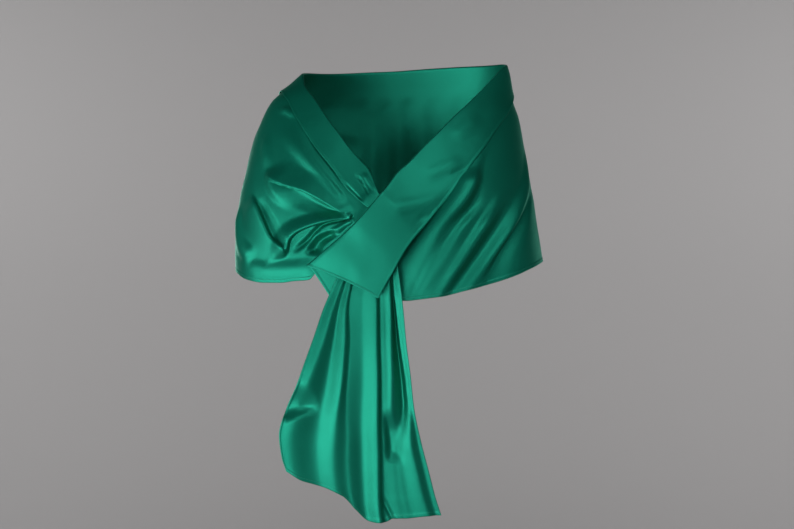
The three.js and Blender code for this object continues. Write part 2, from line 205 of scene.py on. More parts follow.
# Lines across the cloth: the fold at the neck, the collar's free edge and the hem. Lifts
# are heights of the cloth's middle above the figure: the panel's at the neck and the
# hem, the collar's at its fold and its free edge. Where the slot opens, the panel's own
# edge is set back and the fold is opened by a share of its roll.
SECTIONS = Chart((
    "neck_turn", "neck_z", "neck_lift", "fold_lift", "edge_turn", "edge_z", "edge_lift",
    "hem_turn", "hem_z", "hem_lift", "setback", "open",
), (
    (12.5, -212, 16, 20, 21, -226, 20, 26, -256, 16, 0, 0),
    (16, -198, 15, 19, 25, -217, 18.7, 29, -262, 14, 0, 0),
    (18.5, -182, 10, 14, 28.5, -208, 12.8, 35, -274, 6, 0, 0),
    (23, -161, 5, 9, 34.5, -192, 8.2, 41, -299, 2, 0, 0),
    (31.4, -138, 1, 5, 42, -163, 5, 48, -330, 1, 0, 0),
    (37.4, -121, 0, 4, 46.3, -147, 4.2, 52, -346, 1, 0, 0),
    (44.1, -100, 0, 4, 52.5, -125, 4, 57.5, -348, 0, 0, 0),
    (53.1, -72, 0, 4, 60, -95, 4, 63, -351, 0, 0, 0),
    (65.5, -32, 0, 4, 69.5, -56, 4, 69, -351, 0, 0, 0),
    (74.5, -9, 0, 4, 76, -32, 4, 76, -346, 0, 0, 0),
    (84.5, 13, 0, 4, 86, -16, 4, 84.3, -334, 0, 0, 0),
    (97, 20, 0, 4, 99, -20, 4, 96, -326, 0, 0, 0),
    (118, 25, 0, 4, 119, -19, 4, 117, -334, 0, 0, 0),
    (145, 30, 0, 4, 145, -15, 4, 145, -342, 0, 0, 0),
    (180, 33, 0, 4, 180, -11, 4, 180, -346, 0, 0, 0),
    (215, 37, 0, 4, 215, -8, 4, 215, -343, 0, 0, 0),
    (240, 39, 0, 4, 240, -6, 4, 240, -334, 0, 0, 0),
    (258, 38, 0, 4, 257, -8, 4, 256, -322, 0, 0, 0),
    (273, 30, 0, 4, 270, -18, 4, 269, -311, 0, 0, 0),
    (284.3, 3, 0, 4, 279, -38, 4, 279, -316, 0, 0, 0),
    (294, -22, 0, 4, 286.5, -60, 4, 288, -326, 0, 0, 0),
    (303.7, -44, 0, 4, 295, -87, 4, 296, -338, 0, 0, 0),
    (316, -69, 0, 4, 303, -116, 4, 303, -348, 0, 0, 0),
    (329, -97, 0, 5, 313, -150, 4, 311, -357, 0, 0, 0),
    (341, -122, 1, 6, 320.5, -178, 5, 320, -365, 0, 0, 0),
    (353, -150, 3, 10, 330, -213, 7, 330, -373, 0, 0, 0),
    (361.3, -167, 5, 14, 336.5, -233, 10, 338, -376, 0, 0, 0),
    (369.1, -193, 6, 22, 344, -257, 15, 347, -379, 0, 0, 0.35),
    (373.5, -206, 7, 27, 349.5, -273, 19, 355, -381, 1, 6, 0.7),
    (380.4, -228, 7, 28, 355, -291, 21, 364, -381, 1, 12, 0.75),
    (387, -248, 7, 27, 360.5, -313, 23, 373, -381, 2, 18, 0.7),
    (394.5, -270, 7, 23, 365, -333, 24, 383, -381, 3, 10, 0.3),
    (403, -295, 7, 21, 370, -354, 24, 392, -381, 4, 0, 0),
    (411, -322, 7, 17, 374.7, -376, 24, 401.5, -380, 5, 0, 0),
))

# The tail: its left and right edges at shares of its length, and how far out it hangs.
TAIL = Chart(("share", "left_x", "left_y", "left_z", "right_x", "right_y", "right_z"), (
    (0, -75, -151, -254, -33, -151, -212),
    (0.03, -76, -151, -266, -27, -151, -227),
    (0.09, -88, -147, -290, -20, -150, -253),
    (0.18, -100, -144, -326, -8, -149, -299),
    (0.27, -116, -144, -362, 0, -149, -348),
    (0.36, -131, -145, -398, 6, -149, -397),
    (0.46, -145, -147, -440, 11, -149, -452),
    (0.56, -160, -148, -482, 18, -149, -506),
    (0.66, -175, -147, -524, 24, -148, -561),
    (0.76, -193, -145, -565, 35, -146, -615),
    (0.86, -204, -143, -608, 49, -144, -669),
    (0.94, -200, -141, -644, 60, -142, -712),
    (1, -192, -140, -669, 70, -141, -743),
))

# How far the tail's bottom edge sags below a straight line, at shares of its width.
SAG = Chart(("share", "drop"), (
    (0, 0),
    (0.11, 9),
    (0.25, 10),
    (0.36, 15),
    (0.45, 33),
    (0.53, 46),
    (0.64, 39),
    (0.68, 31),
    (0.79, 21),
    (0.9, 9),
    (1, 0),
))


class Crest(Enum):
    """How a fold's top is shaped."""

    ROUND = "round"
    SHARP = "sharp"
    LAP = "lap"


@dataclass(frozen=True)
class Fold:
    """A fold along a path, or a hollow where its rise is below zero.

    The path's places are turns and heights on the strip, or shares across and along on
    the tail. Left and right are its half widths on either hand as one walks along it,
    seen from outside. Fade gives the shares of its length over which it dies away at
    its start and its end, and spread the share of its width that it has at each. A lean
    carries its top over towards the right hand.
    """

    name: str
    path: tuple[tuple[float, float], ...]
    left: float
    right: float
    rise: float
    fade: tuple[float, float] = (0.3, 0.3)
    spread: tuple[float, float] = (1.0, 1.0)
    lean: float = 0.0
    crest: Crest = Crest.ROUND

    STEPS = 7
    TIP = 0.12
    SLOPE = 1.35

    def curve(self) -> Array:
        """Draw a smooth line through the path's places.

        Returns:
            Places along the line, one row each.
        """
        path = np.array(self.path, float)
        ends = np.vstack([2 * path[0] - path[1], path, 2 * path[-1] - path[-2]])
        places = [path[0]]
        for k in range(len(path) - 1):
            a, b, c, d = ends[k:k + 4]
            for step in range(1, self.STEPS + 1):
                t = step / self.STEPS
                bend = (2 * a - 5 * b + 4 * c - d) * t * t + (3 * b - a - 3 * c + d) * t ** 3
                places.append(0.5 * (2 * b + (c - a) * t + bend))
        return np.array(places)

    def profile(self, reach: Array, left: Array) -> Array:
        """Give the height of the fold's section.

        Args:
            reach: From 0 on the fold's line to 1 at its side.
            left: Whether the place is on the left hand.

        Returns:
            Heights, from 1 on the line to 0 at the side. A lap is a straight slope on
            its broad side and drops away round on its narrow side.
        """
        soft = (1 - reach * reach) ** 2
        if self.crest is Crest.ROUND:
            return soft
        rounded = np.sqrt(reach * reach + self.TIP ** 2) - self.TIP
        peak = 1 - rounded / (math.sqrt(1 + self.TIP ** 2) - self.TIP)
        if self.crest is Crest.SHARP:
            return peak ** 2
        slope = peak ** self.SLOPE
        return np.where(left == (self.left > self.right), slope, soft)

    def reached(self, line: Array, places: tuple[Array, Array], scale: tuple[Array, Array]) -> Array:
        """List the places that may lie within the fold's width of its line.

        Args:
            line: Places along the line.
            places: The places' first and second numbers.
            scale: Millimetres for one of each number, at each place.

        Returns:
            The numbers of the places, as they stand in the rows.
        """
        widest = max(self.left, self.right) * max(self.spread)
        inside = np.ones(len(places[0]), dtype=bool)
        for way in (0, 1):
            low = line[:, way].min() - places[way]
            high = places[way] - line[:, way].max()
            inside &= np.maximum(low, high) * np.abs(scale[way]) < widest
        return np.flatnonzero(inside)

    def strength(self, away: Array, side: Array, walked: Array) -> Array:
        """Give the share of the fold's rise that places have.

        Args:
            away: Distances from the line.
            side: Above 0 on the left hand.
            walked: Shares of the way along the line.

        Returns:
            The shares.
        """
        width = np.where(side > 0, self.left, self.right) * mix(*self.spread, walked)
        start, end = self.fade
        height = self.profile(np.minimum(away / width, 1), side > 0)
        return height * ease(0, start, walked) * ease(0, end, 1 - walked)

    def press(self, places: tuple[Array, Array], scale: tuple[Array, Array], total: Array) -> None:
        """Add the fold's rise and its lean to the totals of a set of places.

        Args:
            places: The places' first and second numbers.
            scale: Millimetres for one of each number, at each place.
            total: Rise, and the two shifts in millimetres, one row each, added to.
        """
        line = self.curve()
        near = self.reached(line, places, scale)
        if not len(near):
            return
        a = (line[None, :, 0] - places[0][near, None]) * scale[0][near, None]
        b = (line[None, :, 1] - places[1][near, None]) * scale[1][near, None]
        run_a = np.diff(a, axis=1)
        run_b = np.diff(b, axis=1)
        length = np.maximum(np.hypot(run_a, run_b), TINY)
        run_a = run_a / length
        run_b = run_b / length
        along = np.clip(-(a[:, :-1] * run_a + b[:, :-1] * run_b), 0, length)
        rest_a = a[:, :-1] + run_a * along
        rest_b = b[:, :-1] + run_b * along
        away = np.hypot(rest_a, rest_b)
        nearest = (np.arange(len(near)), np.argmin(away, axis=1))
        walked = (np.cumsum(length, axis=1) - length + along)[nearest] / length.sum(axis=1)
        side = (run_a * rest_b - run_b * rest_a)[nearest]
        strength = self.strength(away[nearest], side, walked)
        total[0, near] += self.rise * strength
        total[1, near] -= self.lean * strength * run_b[nearest]
        total[2, near] += self.lean * strength * run_a[nearest]


def press_all(folds: tuple[Fold, ...], first: Array, second: Array, scale: tuple[Array, Array]) -> Array:
    """Add up a set of folds.

    Args:
        folds: The folds.
        first: The places' first numbers.
        second: The places' second numbers.
        scale: Millimetres for one of each number, at each place.

    Returns:
        Rise and the two shifts in millimetres, one block each in the places' shape.
    """
    places = (first.ravel(), second.ravel())
    total = np.zeros((3, first.size))
    scales = tuple(np.broadcast_to(value, first.shape).ravel() for value in scale)
    for fold in folds:
        fold.press(places, scales, total)
    return total.reshape((3, *first.shape))


@dataclass(frozen=True)
class Line:
    """One line along a pleat's top or hollow: where it runs and how far out, at each station."""

    name: str
    at: tuple[float, ...]
    out: tuple[float, ...]


@dataclass(frozen=True)
class Pleats:
    """Pleats side by side, given by their lines in order across the cloth."""

    stations: tuple[float, ...]
    lines: tuple[Line, ...]

    def rise(self, across: Array, along: Array) -> Array:
        """Read how far out the cloth is.

        Args:
            across: Places across the pleats, as the lines give them.
            along: Places along them, as the stations give them.

        Returns:
            Distances out in millimetres, in the places' shape.
        """
        keys = np.array(self.stations)
        station = np.clip(along.ravel(), keys[0], keys[-1])
        place = across.ravel()
        edges = [follow(keys, np.array(line.at), station) for line in self.lines]
        outs = [follow(keys, np.array(line.out), station) for line in self.lines]
        total = np.where(place < edges[0], outs[0], outs[-1])
        for k in range(len(edges) - 1):
            share = (place - edges[k]) / np.maximum(edges[k + 1] - edges[k], TINY)
            between = (share >= 0) & (share < 1)
            total[between] = mix(outs[k], outs[k + 1], ease(0, 1, share))[between]
        return total.reshape(across.shape)


# The right front: folds that are drawn into the slot, and the fall over the arm.
RIGHT_FOLDS = (
    Fold(
        "ridge over the breast",
        path=((72, -158), (68, -167), (60, -180), (54, -188), (49, -198), (44, -208), (39, -219),
              (30, -235)),
        left=34, right=9, rise=9, fade=(0.2, 0.15), spread=(1, 0.35), lean=8, crest=Crest.LAP,
    ),
    Fold(
        "hollow below it",
        path=((62, -194), (55, -202), (50, -212), (45, -221), (39, -229), (31, -240)),
        left=10, right=30, rise=-6, fade=(0.5, 0.08), spread=(1, 0.35),
    ),
    Fold(
        "swag",
        path=((30, -237), (39, -238), (46, -243), (52, -250), (57, -260), (60, -274), (61, -291),
              (61, -308)),
        left=9, right=24, rise=11, fade=(0.06, 0.12), spread=(0.35, 1), lean=-6,
    ),
    Fold(
        "slit under the swag",
        path=((31, -241), (44, -249), (49, -262), (52, -276), (56, -292), (58, -301)),
        left=7, right=6, rise=-8, fade=(0.1, 0.25), spread=(0.5, 1),
    ),
    Fold(
        "pocket above the hem",
        path=((38, -262), (46, -276), (49, -290), (50, -305)),
        left=16, right=13, rise=-12, fade=(0.25, 0.2), spread=(0.5, 1),
    ),
    Fold(
        "flap by the slot",
        path=((30, -244), (36, -254), (41, -266), (43, -278)),
        left=12, right=9, rise=5, fade=(0.1, 0.35), spread=(0.5, 1),
    ),
    Fold(
        "crease by the arm",
        path=((77, -196), (74, -213), (70, -246), (67, -274), (63, -295), (61, -310)),
        left=9, right=38, rise=8, fade=(0.25, 0.08), spread=(0.9, 0.8), lean=-6, crest=Crest.LAP,
    ),
    Fold(
        "hollow beside it",
        path=((73, -206), (67, -247), (64, -274), (61, -296)),
        left=16, right=8, rise=-4, fade=(0.25, 0.2), spread=(1, 0.8),
    ),
    Fold(
        "fall of the sleeve",
        path=((85, -210), (83, -250), (79, -286), (72, -309)),
        left=22, right=24, rise=5, fade=(0.3, 0.15), spread=(0.9, 1),
    ),
    Fold(
        "lobe",
        path=((70, -150), (67, -182), (63, -204), (56, -222)),
        left=32, right=15, rise=6, fade=(0.25, 0.5),
    ),
    Fold(
        "soft band by the collar",
        path=((70, -76), (61, -118), (50, -160), (42, -188), (34, -215)),
        left=14, right=20, rise=4, fade=(0.35, 0.12), spread=(1, 0.4),
    ),
    Fold(
        "shade along the collar",
        path=((61, -85), (50, -131), (42, -159), (37, -182)),
        left=12, right=12, rise=-3, fade=(0.35, 0.3), spread=(1, 0.8),
    ),
    Fold(
        "faint streak from the shoulder",
        path=((78, -86), (74, -124), (70, -160)),
        left=14, right=14, rise=2.5, fade=(0.4, 0.4),
    ),
    Fold(
        "puff under the collar",
        path=((77, -44), (71, -54), (66, -66)),
        left=7, right=10, rise=3.5, fade=(0.35, 0.4), spread=(1, 0.8),
    ),
    Fold(
        "roll above the hem",
        path=((82, -318), (73, -327), (60, -329), (46, -322)),
        left=20, right=24, rise=3.5, fade=(0.3, 0.3),
    ),
)

# The left front: drapes that hang from the band towards the side, at heights.
LEFT_PLEATS = Pleats(stations=(-375, -310, -260, -215, -182, -150, -110), lines=(
    Line("side", at=(264, 264, 264, 264, 264, 264, 264), out=(0, 0, 0, 0, 0, 0, 0)),
    Line("fifth top", at=(300, 294, 288, 282, 275, 271, 268), out=(3, 5, 6, 3, 0, 0, 0)),
    Line("fourth hollow", at=(311, 304, 295, 285, 279, 275, 271), out=(-1, -3, -3, -1, 0, 0, 0)),
    Line("fourth top", at=(320, 307, 297, 289, 283, 279, 274), out=(3, 6, 8, 7, 5, 3, 0)),
    Line("third hollow", at=(328, 314, 304, 296, 289, 283, 277), out=(-1, -3, -4, -2, -1, 0, 0)),
    Line("third top", at=(334, 321, 311.5, 303, 298, 292, 282), out=(6, 13, 12, 3, 0, 0, 0)),
    Line("second hollow", at=(340, 326, 316, 307, 303, 298, 288), out=(5, 10, 7, 1, 0, 0, 0)),
    Line("second top", at=(345, 331, 321, 310, 306, 303, 294), out=(4, 11, 10, 1, 0, 0, 0)),
    Line("first hollow", at=(350, 337, 326, 314, 309, 306, 298), out=(3, 9, 6, 0, 0, 0, 0)),
    Line("lobe's top", at=(354, 342, 334, 321, 314, 310, 302), out=(2, 8, 13, 17, 15, 3, 0)),
    Line("hollow by the band", at=(374, 364, 353, 341, 331, 323, 315), out=(-3, -7, -8, -6, -4, 0, 0)),
    Line("under the band", at=(392, 386, 380, 378, 376, 374, 370), out=(0, 0, 0, 0, 0, 0, 0)),
))

# The back, which hangs in pleats like those in front, at heights.
BACK_PLEATS = Pleats(stations=(-346, -250, -150, -60), lines=(
    Line("right side", at=(94, 94, 94, 94), out=(0, 0, 0, 0)),
    Line("first top", at=(105, 103, 101, 102), out=(8, 6, 3, 0)),
    Line("first hollow", at=(117, 114, 111, 112), out=(-3, -2, -1, 0)),
    Line("second top", at=(131, 128, 123, 119), out=(9, 7, 4, 1)),
    Line("second hollow", at=(139, 137, 135, 133), out=(-5, -4, -1, 0)),
    Line("third top", at=(150, 149, 147, 146), out=(6, 6, 4, 1)),
    Line("third hollow", at=(163, 160, 157, 156), out=(-2, -2, 0, 0)),
    Line("fourth top", at=(171, 169, 167, 167), out=(9, 8, 5, 1)),
    Line("fourth hollow", at=(178, 178, 179, 181), out=(-6, -4, -2, 0)),
    Line("fifth top", at=(194, 192, 190, 190), out=(7, 7, 5, 1)),
    Line("fifth hollow", at=(205, 203, 201, 201), out=(-3, -2, -1, 0)),
    Line("sixth top", at=(215, 214, 212, 211), out=(10, 7, 3, 1)),
    Line("sixth hollow", at=(223, 223, 224, 224), out=(-4, -4, -1, 0)),
    Line("seventh top", at=(238, 237, 236, 236), out=(7, 6, 4, 1)),
    Line("seventh hollow", at=(248, 247, 246, 246), out=(-3, -2, 0, 0)),
    Line("eighth top", at=(256, 255, 254, 254), out=(5, 4, 3, 0)),
    Line("left side", at=(264, 264, 264, 264), out=(0, 0, 0, 0)),
))

# Soft drags across the back's pleats.
BACK_FOLDS = (
    Fold(
        "sag below the right shoulder",
        path=((104, -60), (128, -96), (160, -112)),
        left=16, right=24, rise=3, fade=(0.4, 0.5),
    ),
    Fold(
        "sag below the left shoulder",
        path=((258, -52), (232, -84), (204, -96)),
        left=24, right=16, rise=3, fade=(0.4, 0.5),
    ),
    Fold(
        "upper arm behind",
        path=((94, -40), (93, -120), (95, -200)),
        left=20, right=24, rise=4, fade=(0.35, 0.4),
    ),
)

# The collar and the band.
COLLAR_FOLDS = (
    Fold(
        "crease by the slot",
        path=((30, -166), (27, -177), (21, -204)),
        left=3, right=4, rise=-3.5, fade=(0.3, 0.15), spread=(1, 0.7), crest=Crest.SHARP,
    ),
    Fold(
        "swell above it",
        path=((25, -163), (21, -180), (16, -198)),
        left=9, right=8, rise=3.5, fade=(0.3, 0.2), spread=(1, 0.7),
    ),
    Fold(
        "crease along the free edge",
        path=((37, -178), (31, -196), (24, -216)),
        left=4, right=4, rise=-2, fade=(0.3, 0.2), spread=(1, 0.7), crest=Crest.SHARP,
    ),
    Fold(
        "lower swell of the band",
        path=((370, -224), (352, -217), (338, -207), (327, -190)),
        left=14, right=24, rise=2.5, fade=(0.25, 0.3), spread=(1, 0.9),
    ),
    Fold(
        "upper swell of the band",
        path=((345, -172), (334, -160), (325, -150), (316, -136)),
        left=14, right=18, rise=1.6, fade=(0.3, 0.35), spread=(1, 0.9),
    ),
    Fold(
        "swell at the shoulder",
        path=((322, -104), (310, -84), (300, -60)),
        left=14, right=18, rise=1, fade=(0.3, 0.35), spread=(1, 0.9),
    ),
    Fold(
        "nick at the free edge",
        path=((316, -158), (321, -162), (326, -170)),
        left=4, right=4, rise=-2, fade=(0.3, 0.4), crest=Crest.SHARP,
    ),
    Fold(
        "crease at the free edge",
        path=((337, -236), (344, -240), (350, -250)),
        left=4, right=5, rise=-2.5, fade=(0.3, 0.4), crest=Crest.SHARP,
    ),
    Fold(
        "back wave",
        path=((150, 20), (158, 0), (160, -14)),
        left=18, right=20, rise=2.5, fade=(0.3, 0.2),
    ),
    Fold(
        "back hollow",
        path=((196, 22), (200, 4), (198, -12)),
        left=18, right=18, rise=-2, fade=(0.3, 0.2),
    ),
    Fold(
        "shoulder wave",
        path=((240, 28), (236, 10), (238, -6)),
        left=16, right=16, rise=2.5, fade=(0.3, 0.2),
    ),
)

# The tail's pleats, across it at shares of its length.
TAIL_PLEATS = Pleats(stations=(0, 0.3, 0.48, 0.64, 0.79, 1), lines=(
    Line("left edge", at=(0, 0, 0, 0, 0, 0), out=(0, 1, 4, 6, 6, 4)),
    Line("first top", at=(0.14, 0.125, 0.11, 0.08, 0.07, 0.06), out=(3, 6, 7, 8, 8, 5)),
    Line("first hollow", at=(0.2, 0.19, 0.22, 0.24, 0.25, 0.22), out=(0, 1, -1, -2, -2, -2)),
    Line("second top", at=(0.26, 0.27, 0.34, 0.37, 0.37, 0.33), out=(3, 6, 9, 10, 8, 5)),
    Line("second slope", at=(0.3, 0.31, 0.4, 0.42, 0.46, 0.43), out=(0, 1, 2, 3, 2, 0)),
    Line("second hollow", at=(0.42, 0.46, 0.52, 0.55, 0.56, 0.52), out=(0, 1, 1, 0, -4, -6)),
    Line("main top", at=(0.62, 0.66, 0.68, 0.69, 0.68, 0.61), out=(6, 8, 9, 10, 9, 7)),
    Line("third hollow", at=(0.665, 0.705, 0.72, 0.725, 0.71, 0.64), out=(-1, -1, 0, 0, 0, -1)),
    Line("fourth top", at=(0.82, 0.845, 0.83, 0.81, 0.79, 0.75), out=(4, 6, 6, 5, 1, 2)),
    Line("gap", at=(0.86, 0.885, 0.9, 0.91, 0.83, 0.8), out=(-5, -8, -9, -9, 1, 3)),
    Line("right strip", at=(0.89, 0.905, 0.94, 0.965, 0.92, 0.92), out=(4, 4, 4, 3, 8, 8)),
    Line("beside the strip", at=(0.98, 0.98, 0.985, 0.985, 0.97, 0.965), out=(7, 8, 8, 5, 2, 2)),
    Line("right edge", at=(1, 1, 1, 1, 1, 1), out=(7, 9, 9, 6, 3, 4)),
))

# What crosses the tail's pleats, as shares across and along.
TAIL_FOLDS = (
    Fold(
        "soft hollow",
        path=((-0.04, 0.77), (0.08, 0.73), (0.22, 0.7)),
        left=24, right=54, rise=-12, fade=(0.1, 0.45), spread=(1, 0.8),
    ),
    Fold(
        "round hollow",
        path=((0.77, 0.66), (0.775, 0.76), (0.76, 0.84)),
        left=12, right=26, rise=-9, fade=(0.45, 0.25), spread=(0.8, 1),
    ),
    Fold(
        "tuck at the hem",
        path=((0.645, 0.92), (0.665, 0.96), (0.69, 1.02)),
        left=3, right=9, rise=-4, fade=(0.3, 0.05), crest=Crest.LAP,
    ),
)


@dataclass(frozen=True)
class Figure:
    """The general figure that the strip goes round."""

    chart: Chart = FIGURE
    roundness: float = 2.3
    step: float = 0.05

    def radius(self, turn: Array, z: Array) -> Array:
        """Measure from the figure's axis to its surface.

        Args:
            turn: Turns.
            z: Heights.

        Returns:
            The distances.
        """
        side = np.sin(turn * DEGREE)
        face = np.cos(turn * DEGREE)
        right = self.chart.read("right", z, "z")
        left = self.chart.read("left", z, "z")
        front = self.chart.read("front", z, "z")
        back = self.chart.read("back", z, "z")
        width = np.abs(side) / np.where(side >= 0, right, left)
        depth = np.abs(face) / np.where(face >= 0, front, back)
        return (width ** self.roundness + depth ** self.roundness) ** (-1 / self.roundness)

    def scale(self, turn: Array, z: Array) -> Array:
        """Give the millimetres that one degree of turn spans."""
        return self.radius(turn, z) * DEGREE

    def point(self, turn: Array, z: Array) -> Array:
        """Place points on the figure.

        Args:
            turn: Turns.
            z: Heights.

        Returns:
            The points.
        """
        radius = self.radius(turn, z)
        x = -radius * np.sin(turn * DEGREE)
        y = -radius * np.cos(turn * DEGREE)
        return np.stack([x, y, np.broadcast_to(z, radius.shape)], -1)

    def normal(self, turn: Array, z: Array) -> Array:
        """Give the direction out of the figure.

        Args:
            turn: Turns.
            z: Heights.

        Returns:
            Directions of length one.
        """
        by_turn = self.point(turn + self.step, z) - self.point(turn - self.step, z)
        by_height = self.point(turn, z - self.step) - self.point(turn, z + self.step)
        return unit(np.cross(by_turn, by_height))


@dataclass
class Grid:
    """A sheet's middle as rows of points, with its thickness and its pattern's places."""

    points: Array
    half: Array
    run: Array
    fall: Array

    def normals(self) -> Array:
        """Give the direction that the sheet faces at each point."""
        return unit(np.cross(np.gradient(self.points, axis=0), np.gradient(self.points, axis=1)))

    def pattern(self) -> Array:
        """Give each point's place in the weave's pattern, in metres."""
        return np.stack([self.run, self.fall], -1) * MM

    def turned(self) -> "Grid":
        """Swap the rows and the columns, facing as before.

        Returns:
            The turned grid.
        """
        points = self.points.transpose(1, 0, 2)[::-1]
        return Grid(points, self.half.T[::-1], self.run.T[::-1], self.fall.T[::-1])

    def beside_edge(self, away: Array, distance: float, face: float = 1) -> tuple[Array, Array]:
        """Draw a line on the sheet's face at a distance from one of its long edges.

        Args:
            away: Each point's distance from the edge, along its row.
            distance: How far in the line runs.
            face: 1 for the outer face, -1 for the inner.

        Returns:
            The line's points and the directions that the face has there.
        """
        normals = self.normals() * face
        surface = self.points + normals * self.half[..., None]
        step = 1 if away[0, 0] < away[0, -1] else -1
        points = []
        facing = []
        for row in range(len(away)):
            keys = away[row, ::step]
            points.append(at_places(surface[row, ::step], keys, distance))
            facing.append(at_places(normals[row, ::step], keys, distance))
        return np.array(points), unit(np.array(facing))


@dataclass(frozen=True)
class Hem:
    """A turned and stitched edge: how broad it is and how much it thickens the cloth.

    The turned cloth ends in a soft step, a little before and after its width. The very
    edge is rounded off, and the square of the share that is left there is least.
    """

    width: float
    swell: float = 0.45
    edge: float = 0.9
    step_in: float = 0.5
    step_out: float = 0.4
    least: float = 0.04

    def half(self, cloth: float, away: Array) -> Array:
        """Give half the thickness at distances from the edge.

        Args:
            cloth: Half the plain cloth's thickness.
            away: Distances from the edge.

        Returns:
            Half the thickness there, rounded off at the very edge.
        """
        beyond = ease(self.width - self.step_in, self.width + self.step_out, away)
        end = np.clip(away / self.edge, 0, 1)
        raised = cloth + self.swell * (1 - beyond)
        return raised * np.sqrt(np.maximum(1 - (1 - end) ** 2, self.least))


def at_places(values: Array, keys: Array, places: Array | float) -> Array:
    """Read rows of three numbers between their keys.

    Args:
        values: The rows.
        keys: The rows' keys, rising.
        places: The keys to read at.

    Returns:
        The numbers there, three to a place.
    """
    return np.stack([np.interp(places, keys, values[:, k]) for k in range(3)], -1)


def spaced(length: float, step: float, fine: tuple[float, ...]) -> Array:
    """List distances along a length, with some set ones near its end.

    Args:
        length: The whole length.
        step: The usual distance between two.
        fine: Distances from the end, falling to 0.

    Returns:
        Distances from the start, rising.
    """
    plain = length - fine[0]
    count = max(2, round(plain / step))
    return np.concatenate([np.linspace(0, plain, count, endpoint=False), length - np.array(fine)])


def lengths_along(points: Array, axis: int) -> Array:
    """Measure how far each point lies from the start of its row or column.

    Args:
        points: A grid of points.
        axis: The way to measure.

    Returns:
        The distances.
    """
    steps = np.linalg.norm(np.diff(points, axis=axis), axis=-1)
    start = np.zeros_like(np.take(steps, [0], axis=axis))
    return np.concatenate([start, np.cumsum(steps, axis=axis)], axis=axis)


def lengths_back(points: Array, axis: int) -> Array:
    """Measure how far each point lies from the end of its row or column."""
    return np.flip(lengths_along(np.flip(points, axis), axis), axis)


@dataclass
class ClothMesh:
    """Builds one closed shell from a sheet's grids."""

    name: str
    middles: list[Array] = field(default_factory=list)
    normals: list[Array] = field(default_factory=list)
    halves: list[Array] = field(default_factory=list)
    places: list[Array] = field(default_factory=list)
    quads: list[Array] = field(default_factory=list)
    count: int = 0

    def add(self, grid: Grid, normals: Array, first: Array | None = None) -> Array:
        """Add a grid's points and its faces.

        Args:
            grid: The grid.
            normals: The directions that its points face.
            first: Point numbers that the first column shares, or -1 where it doesn't.

        Returns:
            The numbers of the grid's points.
        """
        numbers = np.full(grid.half.shape, -1)
        if first is not None:
            numbers[:, 0] = first
        new = numbers < 0
        numbers[new] = self.count + np.arange(new.sum())
        self.count += int(new.sum())
        self.middles.append(grid.points[new])
        self.normals.append(normals[new])
        self.halves.append(grid.half[new])
        self.places.append(grid.pattern()[new])
        corners = [numbers[:-1, :-1], numbers[1:, :-1], numbers[1:, 1:], numbers[:-1, 1:]]
        self.quads.append(np.stack([corner.ravel() for corner in corners], -1))
        return numbers

    def faces(self) -> Array:
        """List the faces of the outer skin, the inner skin and a rim round every free edge.

        Returns:
            Four point numbers a face.
        """
        quads = np.concatenate(self.quads)
        inner = quads[:, ::-1] + self.count
        starts = quads.ravel()
        ends = np.roll(quads, -1, axis=1).ravel()
        there = starts.astype(np.int64) * self.count + ends
        back = ends.astype(np.int64) * self.count + starts
        free = ~np.isin(there, back)
        a = starts[free]
        b = ends[free]
        rim = np.stack([b, a, a + self.count, b + self.count], -1)
        return np.concatenate([quads, inner, rim])

    def build(self) -> bpy.types.Object:
        """Make the shell, with its pattern's places as a map.

        Returns:
            The new object.
        """
        middle = np.concatenate(self.middles)
        out = np.concatenate(self.normals) * np.concatenate(self.halves)[:, None]
        obj = smooth_object(self.name, np.concatenate([middle + out, middle - out]), self.faces().tolist())
        mesh = obj.data
        places = np.concatenate(self.places + self.places)
        corners = np.empty(len(mesh.loops), dtype=np.int32)
        mesh.loops.foreach_get("vertex_index", corners)
        layer = mesh.uv_layers.new(name=WEAVE)
        layer.data.foreach_set("uv", places[corners].astype(np.float32).ravel())
        return obj


def smooth_object(name: str, points: Array, faces: list[list[int]]) -> bpy.types.Object:
    """Make a smooth shaded object.

    Args:
        name: Its name.
        points: Its points, in millimetres.
        faces: Its faces, as point numbers.

    Returns:
        The new object.
    """
    mesh = bpy.data.meshes.new(name)
    mesh.from_pydata((points * MM).tolist(), [], faces)
    mesh.polygons.foreach_set("use_smooth", np.ones(len(mesh.polygons), dtype=bool))
    mesh.update()
    obj = bpy.data.objects.new(name, mesh)
    bpy.context.scene.collection.objects.link(obj)
    return obj


